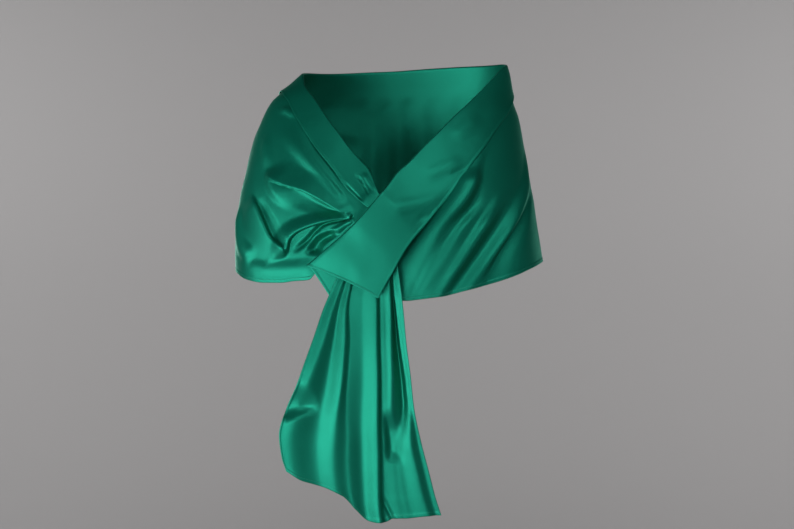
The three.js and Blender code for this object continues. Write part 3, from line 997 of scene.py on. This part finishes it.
@dataclass
class Wrap:
    """The strip round the shoulders: the panels and the collar, which is one cloth.

    The steps are the usual distances between points, and fine lists the distances from
    an edge at which a hem needs points. Row counts give two rows of the sections and how
    many lines lie between them. The margins are the shares of the way down over which
    folds grow. Where the fold's opening is below shut and the setback below flush, the
    collar and the panel join.
    """

    figure: Figure = field(default_factory=Figure)
    cloth: float = 0.35
    hem: Hem = Hem(6.5)
    collar_hem: Hem = Hem(3.6)
    end_reach: float = 8.0
    panel_step: float = 3.4
    leaf_step: float = 3.2
    roll_steps: int = 7
    roll_reach: float = 2.5
    row_counts: tuple[tuple[float, float, int], ...] = ((0, 10, 112), (10, 18, 104), (18, 33, 132))
    trial_rows: int = 400
    measured_at: float = 0.55
    just_below: float = 0.01
    fine: tuple[float, ...] = (9.5, 7.6, 6.9, 6.3, 4.6, 3, 1.6, 0.7, 0.2, 0)
    collar_fine: tuple[float, ...] = (6.9, 6.3, 4.6, 3, 1.6, 0.7, 0.2, 0)
    most_fine: float = 0.3
    longest: float = 345.0
    broadest: float = 66.0
    cover_start: float = 0.01
    cover_margin: float = 0.06
    neck_margin: float = 0.08
    fold_margin: float = 0.25
    edge_margin: float = 0.5
    shut: float = 0.004
    flush: float = 0.05
    wander: Ripple = Ripple(60, 220, 0.7, 1.2)
    panel_ripple: Ripple = Ripple(110, 150, 0.4, 0.5)
    collar_ripple: Ripple = Ripple(130, 90, 2.1, 0.5)
    hem_line: float = 5.5
    edge_lines: tuple[float, ...] = (1.6, 3.1)
    overlock: float = 0.9
    overlock_pitch: float = 2.8
    collar: Grid | None = None
    panels: Grid | None = None

    def section(self, name: str, row: Array) -> Array:
        """Read one column of the sections."""
        return SECTIONS.read(name, row)

    def rows(self) -> Array:
        """Choose the lines across the cloth that the mesh has, evenly by length in a stretch.

        Returns:
            Row numbers, which may lie between two rows of the sections.
        """
        chosen = []
        for first, last, count in self.row_counts:
            trial = np.linspace(first, last, self.trial_rows)
            share = np.full((self.trial_rows, 1), self.measured_at)
            length = lengths_along(self.panel(trial[:, None], share, plain=True)[:, 0], 0)
            at = np.linspace(0, length[-1], count, endpoint=False)
            if last == self.row_counts[-1][1]:
                at = spaced(length[-1], length[-1] / count, self.fine)
            chosen.append(np.interp(at, length, trial))
        return np.concatenate(chosen)

    def cloth_points(self, turn: Array, z: Array, lift: Array, folds: Array) -> Array:
        """Place points of the cloth.

        Args:
            turn: Turns.
            z: Heights.
            lift: Distances above the figure.
            folds: Rise and shifts of the folds there.

        Returns:
            The points.
        """
        moved_turn = turn + folds[1] / self.figure.scale(turn, z)
        moved_z = z + folds[2]
        out = (lift + folds[0])[..., None] * self.figure.normal(turn, z)
        return self.figure.point(moved_turn, moved_z) + out

    def folds_at(self, folds: tuple[Fold, ...], turn: Array, z: Array) -> Array:
        """Read a set of folds at places on the figure."""
        scale = self.figure.scale(turn, z)
        return press_all(folds, turn, z, (scale, np.ones_like(scale)))

    def reach(self, line: str, row: Array) -> Array:
        """Measure from the neck to another line across the cloth.

        Args:
            line: The line: edge or hem.
            row: Row numbers of the sections.

        Returns:
            The distances.
        """
        turn = self.section("neck_turn", row)
        z = self.section("neck_z", row)
        over = (self.section(f"{line}_turn", row) - turn) * self.figure.scale(turn, z)
        return np.hypot(over, self.section(f"{line}_z", row) - z)

    def panel_folds(self, row: Array, share: Array, turn: Array, z: Array) -> Array:
        """Read the panels' folds and pleats, which start clear of the collar.

        Args:
            row: Row numbers of the sections.
            share: Shares of the way down.
            turn: The turns there.
            z: The heights there.

        Returns:
            Rise and the two shifts in millimetres, one block each.
        """
        folds = self.folds_at(RIGHT_FOLDS + BACK_FOLDS, turn, z)
        side = LEFT_PLEATS.lines[0].at[0]
        bent = turn + self.wander.over(turn, z)
        behind = BACK_PLEATS.rise(np.minimum(bent, side), z)
        folds[0] += np.where(turn < side, behind, LEFT_PLEATS.rise(turn, z))
        covered = self.reach("edge", row) / self.reach("hem", row)
        clear = ease(0, 1, (share - covered + self.cover_start) / self.cover_margin)
        folds = folds * np.where(folds[:1] > 0, clear, ease(0, self.neck_margin, share))
        folds[0] += self.panel_ripple.over(turn * self.figure.scale(turn, z), z) * clear
        return folds

    def across(self, line: str, start: str, row: Array, share: Array) -> tuple[Array, Array, Array]:
        """Read the sections between the neck and another line across the cloth.

        Args:
            line: The line: edge or hem.
            start: What lies at the neck: neck for the panel or fold for the collar.
            row: Row numbers of the sections.
            share: Shares of the way down.

        Returns:
            Turns, heights and lifts.
        """
        turn = mix(self.section("neck_turn", row), self.section(f"{line}_turn", row), share)
        z = mix(self.section("neck_z", row), self.section(f"{line}_z", row), share)
        lift = mix(self.section(f"{start}_lift", row), self.section(f"{line}_lift", row), share)
        return turn, z, lift

    def panel(self, row: Array, share: Array, plain: bool = False) -> Array:
        """Place points of the panels between the fold at the neck (0) and the hem (1).

        Args:
            row: Row numbers of the sections.
            share: Shares of the way down.
            plain: Leave the folds out.

        Returns:
            The points.
        """
        row, share = np.broadcast_arrays(row, share)
        turn, z, lift = self.across("hem", "neck", row, share)
        folds = np.zeros((3, *row.shape)) if plain else self.panel_folds(row, share, turn, z)
        return self.cloth_points(turn, z, lift, folds)

    def leaf(self, row: Array, share: Array, plain: bool = False) -> Array:
        """Place points of the collar between its fold (0) and its free edge (1).

        Args:
            row: Row numbers of the sections.
            share: Shares of the way down.
            plain: Leave the folds out.

        Returns:
            The points.
        """
        row, share = np.broadcast_arrays(row, share)
        turn, z, lift = self.across("edge", "fold", row, share)
        folds = np.zeros((3, *row.shape))
        if not plain:
            folds = self.folds_at(COLLAR_FOLDS, turn, z) * ease(0, self.fold_margin, share)
            ripple = self.collar_ripple.over(turn * self.figure.scale(turn, z), z)
            folds[0] += ripple * ease(0, self.edge_margin, share)
        return self.cloth_points(turn, z, lift, folds)

    def roll(self, row: Array, share: Array) -> Array:
        """Place points of the fold, from the panel's edge (0) over to the collar (1).

        Args:
            row: Row numbers of the sections.
            share: Shares of the way over.

        Returns:
            The points.
        """
        row, share = np.broadcast_arrays(row, share)
        turn = self.section("neck_turn", row)
        z = self.section("neck_z", row)
        radius = (self.section("fold_lift", row) - self.section("neck_lift", row)) / 2
        angle = mix(self.section("open", row), 1, share) * math.pi
        start = self.panel(row, np.zeros_like(row), plain=True)
        below = self.panel(row, np.full_like(row, self.just_below), plain=True)
        down = unit(below - start)
        out = (radius * (1 - np.cos(angle)))[..., None] * self.figure.normal(turn, z)
        up = (np.minimum(radius, self.roll_reach) * np.sin(angle))[..., None] * down
        return start + out - up

    def breadth(self, sheet: Callable[..., Array], rows: Array) -> Array:
        """Measure each row of a sheet, straight across.

        Args:
            sheet: The method that places the sheet's points.
            rows: Row numbers of the sections.

        Returns:
            The lengths.
        """
        start = sheet(rows, np.zeros_like(rows), plain=True)
        edge = sheet(rows, np.ones_like(rows), plain=True)
        return np.linalg.norm(edge - start, axis=-1)

    def shares(self, start: Array | float, size: Array, trial: Array, fine: tuple[float, ...]) -> Array:
        """List shares across each row of a sheet, with set distances from its edge.

        Args:
            start: The share at which each row starts.
            size: Each row's own length.
            trial: Distances along a plain row, of which the last are the set ones.
            fine: The set distances from the edge.

        Returns:
            Shares, rising to 1 at the edge, one row each.
        """
        plain = trial[:-len(fine)] / trial[-len(fine)]
        first_fine = 1 - np.minimum(fine[0] / size, self.most_fine)
        edge = 1 - (1 - first_fine) * np.array(fine)[None] / fine[0]
        return np.concatenate([mix(start, first_fine, plain[None]), edge], 1)

    def collar_points(self, rows: Array) -> Array:
        """Place the collar's points, from its free edge over the fold to the neck.

        Args:
            rows: Row numbers of the sections.

        Returns:
            The points, one row each.
        """
        trial = spaced(self.broadest, self.leaf_step, self.collar_fine)
        shares = self.shares(0, self.breadth(self.leaf, rows), trial, self.collar_fine)
        over = np.linspace(1, 0, self.roll_steps + 1)[None, 1:]
        return np.concatenate([self.leaf(rows, shares[:, ::-1]), self.roll(rows, over)], 1)

    def panel_points(self, rows: Array) -> Array:
        """Place the panels' points, from the neck to the hem.

        Args:
            rows: Row numbers of the sections.

        Returns:
            The points, one row each.
        """
        size = self.breadth(self.panel, rows)
        start = np.maximum(self.section("setback", rows), 0) / size
        trial = spaced(self.longest, self.panel_step, self.fine)
        return self.panel(rows, self.shares(start, size, trial, self.fine))

    def thickness(self, points: Array, hem: Hem, away: Array) -> Array:
        """Give half the cloth's thickness, with its hems along an edge and at the left end.

        Args:
            points: A grid's points.
            hem: The hem along the edge.
            away: Each point's distance from the edge.

        Returns:
            Half the thickness at each point.
        """
        half = hem.half(self.cloth, away)
        end_away = lengths_back(points, 0)
        end = self.collar_hem.half(self.cloth, end_away)
        return np.where(end_away < self.end_reach, np.maximum(half, end), half)

    def lay_out(self, rows: Array) -> None:
        """Work out the collar's grid and the panels' grid, and keep them.

        Args:
            rows: Row numbers of the sections.
        """
        collar = self.collar_points(rows)
        panel = self.panel_points(rows)
        leaf_away = lengths_along(collar[:, :-self.roll_steps], 1)
        away = np.pad(leaf_away, ((0, 0), (0, self.roll_steps)), constant_values=self.broadest)
        collar_half = self.thickness(collar, self.collar_hem, away)
        panel_half = self.thickness(panel, self.hem, lengths_back(panel, 1))
        run = lengths_along(panel[:, panel.shape[1] // 2], 0)[:, None]
        fall = lengths_along(collar, 1)
        panel_fall = fall[:, -1:] + lengths_along(panel, 1)
        self.collar = Grid(collar, collar_half, np.broadcast_to(run, collar_half.shape), fall)
        self.panels = Grid(panel, panel_half, np.broadcast_to(run, panel_half.shape), panel_fall)

    def joined(self, rows: Array) -> Array:
        """Tell at which rows the collar and the panel are joined, away from the slot.

        Args:
            rows: Row numbers of the sections.

        Returns:
            Whether each row is joined.
        """
        opened = self.section("open", rows[:, 0])
        setback = self.section("setback", rows[:, 0])
        return (opened < self.shut) & (setback < self.flush)

    def build(self) -> bpy.types.Object:
        """Make the wrap's mesh.

        Returns:
            The new object.
        """
        rows = self.rows()[:, None]
        self.lay_out(rows)
        joined = self.joined(rows)
        size = self.collar.half.shape[1]
        points = np.concatenate([self.collar.points, self.panels.points[:, 1:]], 1)
        together = Grid(points, self.collar.half, self.collar.run, self.collar.fall).normals()
        collar_normals = np.where(joined[:, None, None], together[:, :size], self.collar.normals())
        panel_normals = np.where(joined[:, None, None], together[:, size - 1:], self.panels.normals())
        shell = ClothMesh("wrap_cloth")
        numbers = shell.add(self.collar, collar_normals)
        shell.add(self.panels, panel_normals, np.where(joined, numbers[:, -1], -1))
        return shell.build()

    def sew(self) -> bpy.types.Object:
        """Sew the hem, the band's free edge and its end.

        Returns:
            The stitches' object.
        """
        stitches = Stitches("wrap_stitches")
        hem_away = lengths_back(self.panels.points, 1)
        for face in (1, -1):
            stitches.sew(*self.panels.beside_edge(hem_away, self.hem_line, face), stitches.pitch)
        free_away = lengths_along(self.collar.points, 1)
        for distance in self.edge_lines:
            stitches.sew(*self.collar.beside_edge(free_away, distance), stitches.pitch)
        left = slice(self.panels.points.shape[0] // 2, None)
        line, normals = self.panels.beside_edge(hem_away, self.overlock)
        stitches.sew(line[left], normals[left], self.overlock_pitch, across=True)
        for grid in (self.collar, self.panels):
            end = grid.turned()
            end_away = lengths_back(end.points, 1)
            stitches.sew(*end.beside_edge(end_away, self.edge_lines[-1], -1), stitches.pitch)
        return stitches.build()


@dataclass
class Tail:
    """The right end of the strip, which hangs in front from the slot.

    In the slot the pleats have only a share of their height, and they open between two
    shares of its length. Its start lies on the strip's right end, which it leaves over a
    share of its length. A pleat's rise of base lies on the line between its two edges.
    """

    wrap: Wrap
    cloth: float = 0.35
    length: float = 500.0
    hem: Hem = Hem(7.5)
    side_hem: Hem = Hem(3.2)
    step_along: float = 3.2
    steps_across: int = 112
    usual_width: float = 250.0
    fine: tuple[float, ...] = (10.5, 8.6, 7.9, 7.2, 5.4, 3.4, 1.8, 0.8, 0.25, 0)
    side_fine: tuple[float, ...] = (0, 0.3, 0.9, 1.8, 2.7, 3.1, 3.5, 4.4)
    ripple: Ripple = Ripple(70, 260, 1.3, 0.6)
    ripple_from: float = 0.2
    ripple_to: float = 0.6
    in_slot: float = 0.35
    open_from: float = 0.1
    open_to: float = 0.42
    base: float = 4.0
    sag_power: int = 3
    leaves: float = 0.16
    hem_line: float = 6.4
    overlock: float = 1.0
    overlock_pitch: float = 2.4
    sewn_from: float = 0.12
    grid: Grid | None = None

    def hanging(self, along: Array, across: Array) -> Array:
        """Place points of the tail as it hangs.

        Args:
            along: Shares of its length.
            across: Shares of its width, from the wearer's right.

        Returns:
            The points.
        """
        along, across = np.broadcast_arrays(along, across)
        at = {name: TAIL.read(name, along, "share") for name in TAIL.names[1:]}
        width = np.hypot(at["right_x"] - at["left_x"], at["right_z"] - at["left_z"])
        opened = mix(self.in_slot, 1, ease(self.open_from, self.open_to, along))
        folds = press_all(TAIL_FOLDS, across, along, (width, np.full_like(width, -self.length)))
        ripple = self.ripple.over(across * width, along * self.length)
        rise = (TAIL_PLEATS.rise(across, along) + folds[0] - self.base) * opened
        out = rise + ripple * ease(self.ripple_from, self.ripple_to, along)
        drop = SAG.read("drop", across, "share") * along ** self.sag_power
        return np.stack([
            mix(at["left_x"], at["right_x"], across) + folds[1] * opened,
            mix(at["left_y"], at["right_y"], across) - out,
            mix(at["left_z"], at["right_z"], across) - drop,
        ], -1)

    def points(self, along: Array, across: Array) -> Array:
        """Place points of the tail, whose start meets the strip's right end.

        Args:
            along: Shares of its length.
            across: Shares of its width, from the wearer's right.

        Returns:
            The points.
        """
        end = self.wrap.panel(np.zeros_like(across), 1 - across, plain=True)
        seam = end - self.hanging(np.zeros_like(across), across)
        return self.hanging(along, across) + seam * (1 - ease(0, self.leaves, along))[..., None]

    def build(self) -> bpy.types.Object:
        """Make the tail's mesh.

        Returns:
            The new object.
        """
        alongs = spaced(self.length, self.step_along, self.fine) / self.length
        side = np.array(self.side_fine) / self.usual_width
        middle = np.linspace(side[-1], 1 - side[-1], self.steps_across)[1:-1]
        acrosses = np.concatenate([side, middle, 1 - side[::-1]])
        points = self.points(*np.meshgrid(alongs, acrosses, indexing="ij"))
        from_left = lengths_along(points, 1)
        side_away = np.minimum(from_left, lengths_back(points, 1))
        bottom = self.hem.half(self.cloth, lengths_back(points, 0))
        half = np.maximum(bottom, self.side_hem.half(self.cloth, side_away))
        self.grid = Grid(points, half, lengths_along(points, 0), from_left)
        shell = ClothMesh("tail_cloth")
        shell.add(self.grid, self.grid.normals())
        return shell.build()

    def sew(self) -> bpy.types.Object:
        """Sew the bottom hem and overlock the sides.

        Returns:
            The stitches' object.
        """
        stitches = Stitches("tail_stitches", length=2.0)
        down = self.grid.turned()
        from_hem = lengths_back(down.points, 1)
        for face in (-1, 1):
            stitches.sew(*down.beside_edge(from_hem, self.hem_line, face), stitches.pitch)
        for away in (lengths_along(self.grid.points, 1), lengths_back(self.grid.points, 1)):
            line, normals = self.grid.beside_edge(away, self.overlock)
            start = int(len(line) * self.sewn_from)
            stitches.sew(line[start:], normals[start:], self.overlock_pitch, across=True)
        return stitches.build()


@dataclass
class Stitches:
    """Rows of stitches, all copied from one that is modelled.

    Their places are shifted along the line by a wave. Look is how far ahead and behind
    the line's direction is read.
    """

    name: str
    pitch: float = 3.0
    length: float = 2.2
    width: float = 0.5
    height: float = 0.4
    uneven: float = 0.18
    uneven_by: float = 1.7
    look: float = 1.0
    points: list[Array] = field(default_factory=list)
    faces: list[list[int]] = field(default_factory=list)
    shape: Array | None = None
    sides: list[list[int]] = field(default_factory=list)

    def model(self) -> None:
        """Model one stitch, a short rounded thread, and keep its shape."""
        bpy.ops.object.select_all(action="DESELECT")
        bpy.ops.mesh.primitive_uv_sphere_add(
            segments=8, ring_count=4, radius=0.5, rotation=(0, math.pi / 2, 0))
        stitch = bpy.context.object
        bpy.ops.object.transform_apply(location=False, rotation=True, scale=False)
        mesh = stitch.data
        size = (self.length, self.width, self.height)
        self.shape = np.array([vertex.co for vertex in mesh.vertices]) * size
        self.sides = [list(polygon.vertices) for polygon in mesh.polygons]
        bpy.data.objects.remove(stitch)
        bpy.data.meshes.remove(mesh)

    def sew(self, line: Array, normals: Array, pitch: float, across: bool = False) -> None:
        """Copy the stitch along a line.

        Args:
            line: Points on the cloth's face.
            normals: The directions that the cloth faces there.
            pitch: The distance from one stitch to the next.
            across: Lay the stitches across the line, as an overlocked edge has them.
        """
        if self.shape is None:
            self.model()
        walked = lengths_along(line, 0)
        places = np.arange(pitch / 2, walked[-1], pitch)
        places = places + self.uneven * np.sin(places * self.uneven_by)
        ahead = at_places(line, walked, places + self.look)
        behind = at_places(line, walked, places - self.look)
        out = unit(at_places(normals, walked, places))
        along = unit(ahead - behind)
        side = unit(np.cross(out, along))
        if across:
            along, side = side, -along
        for at, x, y, z in zip(at_places(line, walked, places), along, side, out):
            first = len(self.points) * len(self.shape)
            self.points.append(at + self.shape @ np.array([x, y, z]))
            self.faces.extend([[first + number for number in face] for face in self.sides])

    def build(self) -> bpy.types.Object:
        """Make one object of all the stitches."""
        return smooth_object(self.name, np.concatenate(self.points), self.faces)


class Nodes:
    """The nodes of one new material."""

    def __init__(self, name: str) -> None:
        """Start a material of a name, with its shader alone."""
        self.material = bpy.data.materials.new(name)
        self.material.use_nodes = True
        self.tree = self.material.node_tree
        self.shader = self.tree.nodes["Principled BSDF"]

    def feed(self, node: bpy.types.ShaderNode, settings: dict[str | int, Setting]) -> None:
        """Set a node's inputs, or link them to what feeds them.

        Args:
            node: The node.
            settings: Values or other nodes' outputs, by the inputs' names or numbers.
        """
        for name, setting in settings.items():
            if isinstance(setting, Socket):
                self.tree.links.new(setting, node.inputs[name])
            else:
                node.inputs[name].default_value = setting

    def add(self, kind: str, output: str | int, settings: dict[str | int, Setting],
            **choices: str) -> Socket:
        """Add a node.

        Args:
            kind: Its type.
            output: The output that is used.
            settings: Its inputs' values, or what feeds them.
            choices: Its own options.

        Returns:
            The output.
        """
        node = self.tree.nodes.new(kind)
        for name, choice in choices.items():
            setattr(node, name, choice)
        self.feed(node, settings)
        return node.outputs[output]


@dataclass(frozen=True)
class Satin:
    """A heavy satin: dyed floats that shine along the strip, over a matt ground."""

    name: str = "emerald_satin"
    deep: Colour = (0.0, 0.16, 0.10, 1)
    light: Colour = (0.006, 0.24, 0.157, 1)
    metallic: float = 0.72
    roughness: float = 0.42
    smoother: float = 0.04
    rougher: float = 0.06
    anisotropy: float = 0.3
    glint: Colour = (0.5, 1, 0.84, 1)
    sheen: float = 0.03
    sheen_roughness: float = 0.4
    sheen_colour: Colour = (0.3, 0.9, 0.7, 1)
    threads: float = 780.0
    thread_slant: float = 1.2
    thread_strength: float = 0.25
    thread_depth: float = 0.00012
    slubs: tuple[float, float, float] = (120, 900, 1)
    slub_strength: float = 0.3
    slub_depth: float = 0.00025
    clouds: float = 9.0

    def make(self) -> bpy.types.Material:
        """Build the material.

        Returns:
            The material.
        """
        nodes = Nodes(self.name)
        own = nodes.add("ShaderNodeUVMap", "UV", {}, uv_map=WEAVE)
        slub_places = nodes.add("ShaderNodeMapping", "Vector", {"Vector": own, "Scale": self.slubs})
        slub = nodes.add("ShaderNodeTexNoise", "Fac", {"Vector": slub_places, "Scale": 1.0, "Detail": 3.0})
        gloss = nodes.add("ShaderNodeMapRange", "Result", {
            "Value": slub,
            "To Min": self.roughness - self.smoother,
            "To Max": self.roughness + self.rougher,
        })
        nodes.feed(nodes.shader, {
            "Base Color": self.colour(nodes, slub),
            "Metallic": self.metallic,
            "Roughness": gloss,
            "Anisotropic": self.anisotropy,
            "Tangent": nodes.add("ShaderNodeTangent", "Tangent", {}, direction_type="UV_MAP", uv_map=WEAVE),
            "Specular Tint": self.glint,
            "Sheen Weight": self.sheen,
            "Sheen Roughness": self.sheen_roughness,
            "Sheen Tint": self.sheen_colour,
            "Normal": self.relief(nodes, own, slub),
        })
        return nodes.material

    def colour(self, nodes: Nodes, slub: Socket) -> Socket:
        """Vary the dye softly from place to place and from thread to thread.

        Args:
            nodes: The material's nodes.
            slub: Where the threads are thick and thin.

        Returns:
            The colour.
        """
        body = nodes.add("ShaderNodeTexCoord", "Object", {})
        cloud = nodes.add("ShaderNodeTexNoise", "Fac", {"Vector": body, "Scale": self.clouds, "Detail": 2.0})
        half = nodes.add("ShaderNodeMath", 0, {0: slub, 1: 0.5}, operation="MULTIPLY")
        blend = nodes.add("ShaderNodeMath", 0, {0: cloud, 1: 0.5, 2: half}, operation="MULTIPLY_ADD")
        tones = {"Factor": blend, "A": self.deep, "B": self.light}
        return nodes.add("ShaderNodeMix", "Result", tones, data_type="RGBA")

    def relief(self, nodes: Nodes, own: Socket, slub: Socket) -> Socket:
        """Raise the slanting floats and the thick places of the threads.

        Args:
            nodes: The material's nodes.
            own: The places in the weave's pattern.
            slub: Where the threads are thick and thin.

        Returns:
            The directions that the raised cloth faces.
        """
        slanted = nodes.add("ShaderNodeMapping", "Vector", {
            "Vector": own,
            "Rotation": (0, 0, self.thread_slant),
        })
        weave = nodes.add("ShaderNodeTexWave", "Fac", {
            "Vector": slanted,
            "Scale": self.threads,
            "Distortion": 1.5,
            "Detail": 1.0,
        })
        threads = nodes.add("ShaderNodeBump", "Normal", {
            "Height": weave,
            "Strength": self.thread_strength,
            "Distance": self.thread_depth,
        })
        return nodes.add("ShaderNodeBump", "Normal", {
            "Height": slub,
            "Strength": self.slub_strength,
            "Distance": self.slub_depth,
            "Normal": threads,
        })


@dataclass(frozen=True)
class Thread:
    """Sewing thread: a twisted, slightly lighter green."""

    name: str = "emerald_thread"
    dark: Colour = (0.004, 0.2, 0.13, 1)
    light: Colour = (0.04, 0.42, 0.3, 1)
    roughness: float = 0.5
    sheen: float = 0.15
    twist: float = 2600.0

    def make(self) -> bpy.types.Material:
        """Build the material.

        Returns:
            The material.
        """
        nodes = Nodes(self.name)
        body = nodes.add("ShaderNodeTexCoord", "Object", {})
        ply = nodes.add("ShaderNodeTexWave", "Fac", {"Vector": body, "Scale": self.twist},
                        bands_direction="DIAGONAL")
        tones = {"Factor": ply, "A": self.dark, "B": self.light}
        nodes.feed(nodes.shader, {
            "Base Color": nodes.add("ShaderNodeMix", "Result", tones, data_type="RGBA"),
            "Roughness": self.roughness,
            "Sheen Weight": self.sheen,
        })
        return nodes.material


@dataclass(frozen=True)
class Lamp:
    """One soft light: its place, its width and height, its watts and the point it faces."""

    name: str
    place: Place
    size: tuple[float, float]
    power: float
    aim: Place = (0.0, 0.0, -0.35)

    def hang(self) -> None:
        """Hang the light, out of the camera's sight."""
        data = bpy.data.lights.new(self.name, "AREA")
        data.shape = "RECTANGLE"
        data.size, data.size_y = self.size
        data.energy = self.power
        lamp = bpy.data.objects.new(self.name, data)
        lamp.location = self.place
        lamp.rotation_euler = (Vector(self.aim) - Vector(self.place)).to_track_quat("-Z", "Y").to_euler()
        lamp.visible_camera = False
        bpy.context.scene.collection.objects.link(lamp)


LAMPS = (
    Lamp("key", place=(-1.3, -2.0, -0.9), size=(1.6, 0.8), power=30),
    Lamp("front", place=(0.45, -2.9, -0.6), size=(0.8, 0.6), power=6),
    Lamp("above", place=(0.45, -2.2, 1.15), size=(0.7, 0.5), power=15),
    Lamp("left_side", place=(-2.4, -0.9, -0.9), size=(0.7, 1.2), power=23),
    Lamp("right_side", place=(2.4, -1.3, -0.7), size=(0.6, 1.2), power=2.5),
    Lamp("behind", place=(-0.9, 2.4, -0.5), size=(1.4, 1.2), power=14),
    Lamp("behind_right", place=(1.9, 1.6, -0.6), size=(0.8, 1.2), power=4),
    Lamp("wall_left", place=(-2.0, 2.2, 0.5), size=(0.8, 1.2), power=31, aim=(-0.5, 4.8, -0.1)),
    Lamp("wall_right", place=(2.0, 2.2, 0.5), size=(0.8, 1.2), power=31, aim=(0.5, 4.8, -0.1)),
)


@dataclass(frozen=True)
class Studio:
    """The room: a pale floor that curves up into a plain wall, soft lights, the camera."""

    floor_z: float = -1.55
    floor_radius: float = 3.6
    wall_radius: float = 4.8
    wall_top: float = 3.2
    sides: int = 96
    bend_steps: int = 12
    paint: Colour = (0.44, 0.43, 0.43, 1)
    air: Colour = (0.9, 0.95, 1, 1)
    air_strength: float = 0.02
    camera_place: Place = (-0.005, -2.75, -0.3195)
    lens: float = 70.05
    sensor: float = 36.0

    def profile(self) -> list[tuple[float, float]]:
        """List the room's section, from the floor's rim round the bend to the wall's top.

        Returns:
            Radii and heights.
        """
        places = [(self.floor_radius, self.floor_z)]
        bend = self.wall_radius - self.floor_radius
        for step in range(1, self.bend_steps + 1):
            angle = step / self.bend_steps * math.pi / 2
            radius = self.floor_radius + bend * math.sin(angle)
            places.append((radius, self.floor_z + bend * (1 - math.cos(angle))))
        places.append((self.wall_radius, self.wall_top))
        return places

    def room(self) -> None:
        """Make the floor and wall as one turned sheet."""
        profile = self.profile()
        vertices = [(0.0, 0.0, self.floor_z)]
        for radius, z in profile:
            for side in range(self.sides):
                turn = side / self.sides * 2 * math.pi
                vertices.append((radius * math.cos(turn), radius * math.sin(turn), z))
        faces = [(0, 1 + side, 1 + (side + 1) % self.sides) for side in range(self.sides)]
        for ring in range(len(profile) - 1):
            low = 1 + ring * self.sides
            high = low + self.sides
            for side in range(self.sides):
                after = (side + 1) % self.sides
                faces.append((low + side, high + side, high + after, low + after))
        mesh = bpy.data.meshes.new("room")
        mesh.from_pydata(vertices, [], faces)
        mesh.polygons.foreach_set("use_smooth", [True] * len(mesh.polygons))
        mesh.materials.append(self.coat())
        room = bpy.data.objects.new("room", mesh)
        bpy.context.scene.collection.objects.link(room)

    def coat(self) -> bpy.types.Material:
        """Mix the room's matt paint.

        Returns:
            The material.
        """
        nodes = Nodes("studio_paint")
        nodes.feed(nodes.shader, {"Base Color": self.paint, "Roughness": 0.9, "Specular IOR Level": 0.1})
        return nodes.material

    def build(self) -> None:
        """Make the room, the lights and the camera."""
        scene = bpy.context.scene
        self.room()
        world = bpy.data.worlds.new("studio_air")
        world.use_nodes = True
        background = world.node_tree.nodes["Background"]
        background.inputs["Color"].default_value = self.air
        background.inputs["Strength"].default_value = self.air_strength
        scene.world = world
        for lamp in LAMPS:
            lamp.hang()
        scene.view_settings.view_transform = "Standard"
        data = bpy.data.cameras.new("camera")
        data.lens = self.lens
        data.sensor_width = self.sensor
        camera = bpy.data.objects.new("camera", data)
        camera.location = self.camera_place
        camera.rotation_euler = (math.pi / 2, 0, 0)
        scene.collection.objects.link(camera)
        scene.camera = camera


def dress(obj: bpy.types.Object, material: bpy.types.Material) -> None:
    """Give a piece its material and its body, and report it.

    Args:
        obj: The piece.
        material: Its material.
    """
    obj.data.materials.append(material)
    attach(obj, BODY)
    LOG.info("%s: %d faces", obj.name, len(obj.data.polygons))


def main() -> None:
    """Build the studio and the stole, and report each piece."""
    logging.basicConfig(level=logging.INFO, format="%(message)s")
    Studio().build()
    satin = Satin().make()
    wrap = Wrap()
    wrap_cloth = wrap.build()
    dress(wrap_cloth, satin)
    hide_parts("right_front", "back", "left_front", "collar_right", "collar_back", "collar_left")
    thread = Thread().make()
    wrap_stitches = wrap.sew()
    dress(wrap_stitches, thread)
    tail = Tail(wrap)
    tail_cloth = tail.build()
    dress(tail_cloth, satin)
    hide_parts("tail")
    tail_stitches = tail.sew()
    dress(tail_stitches, thread)


if __name__ == "__main__":
    main()
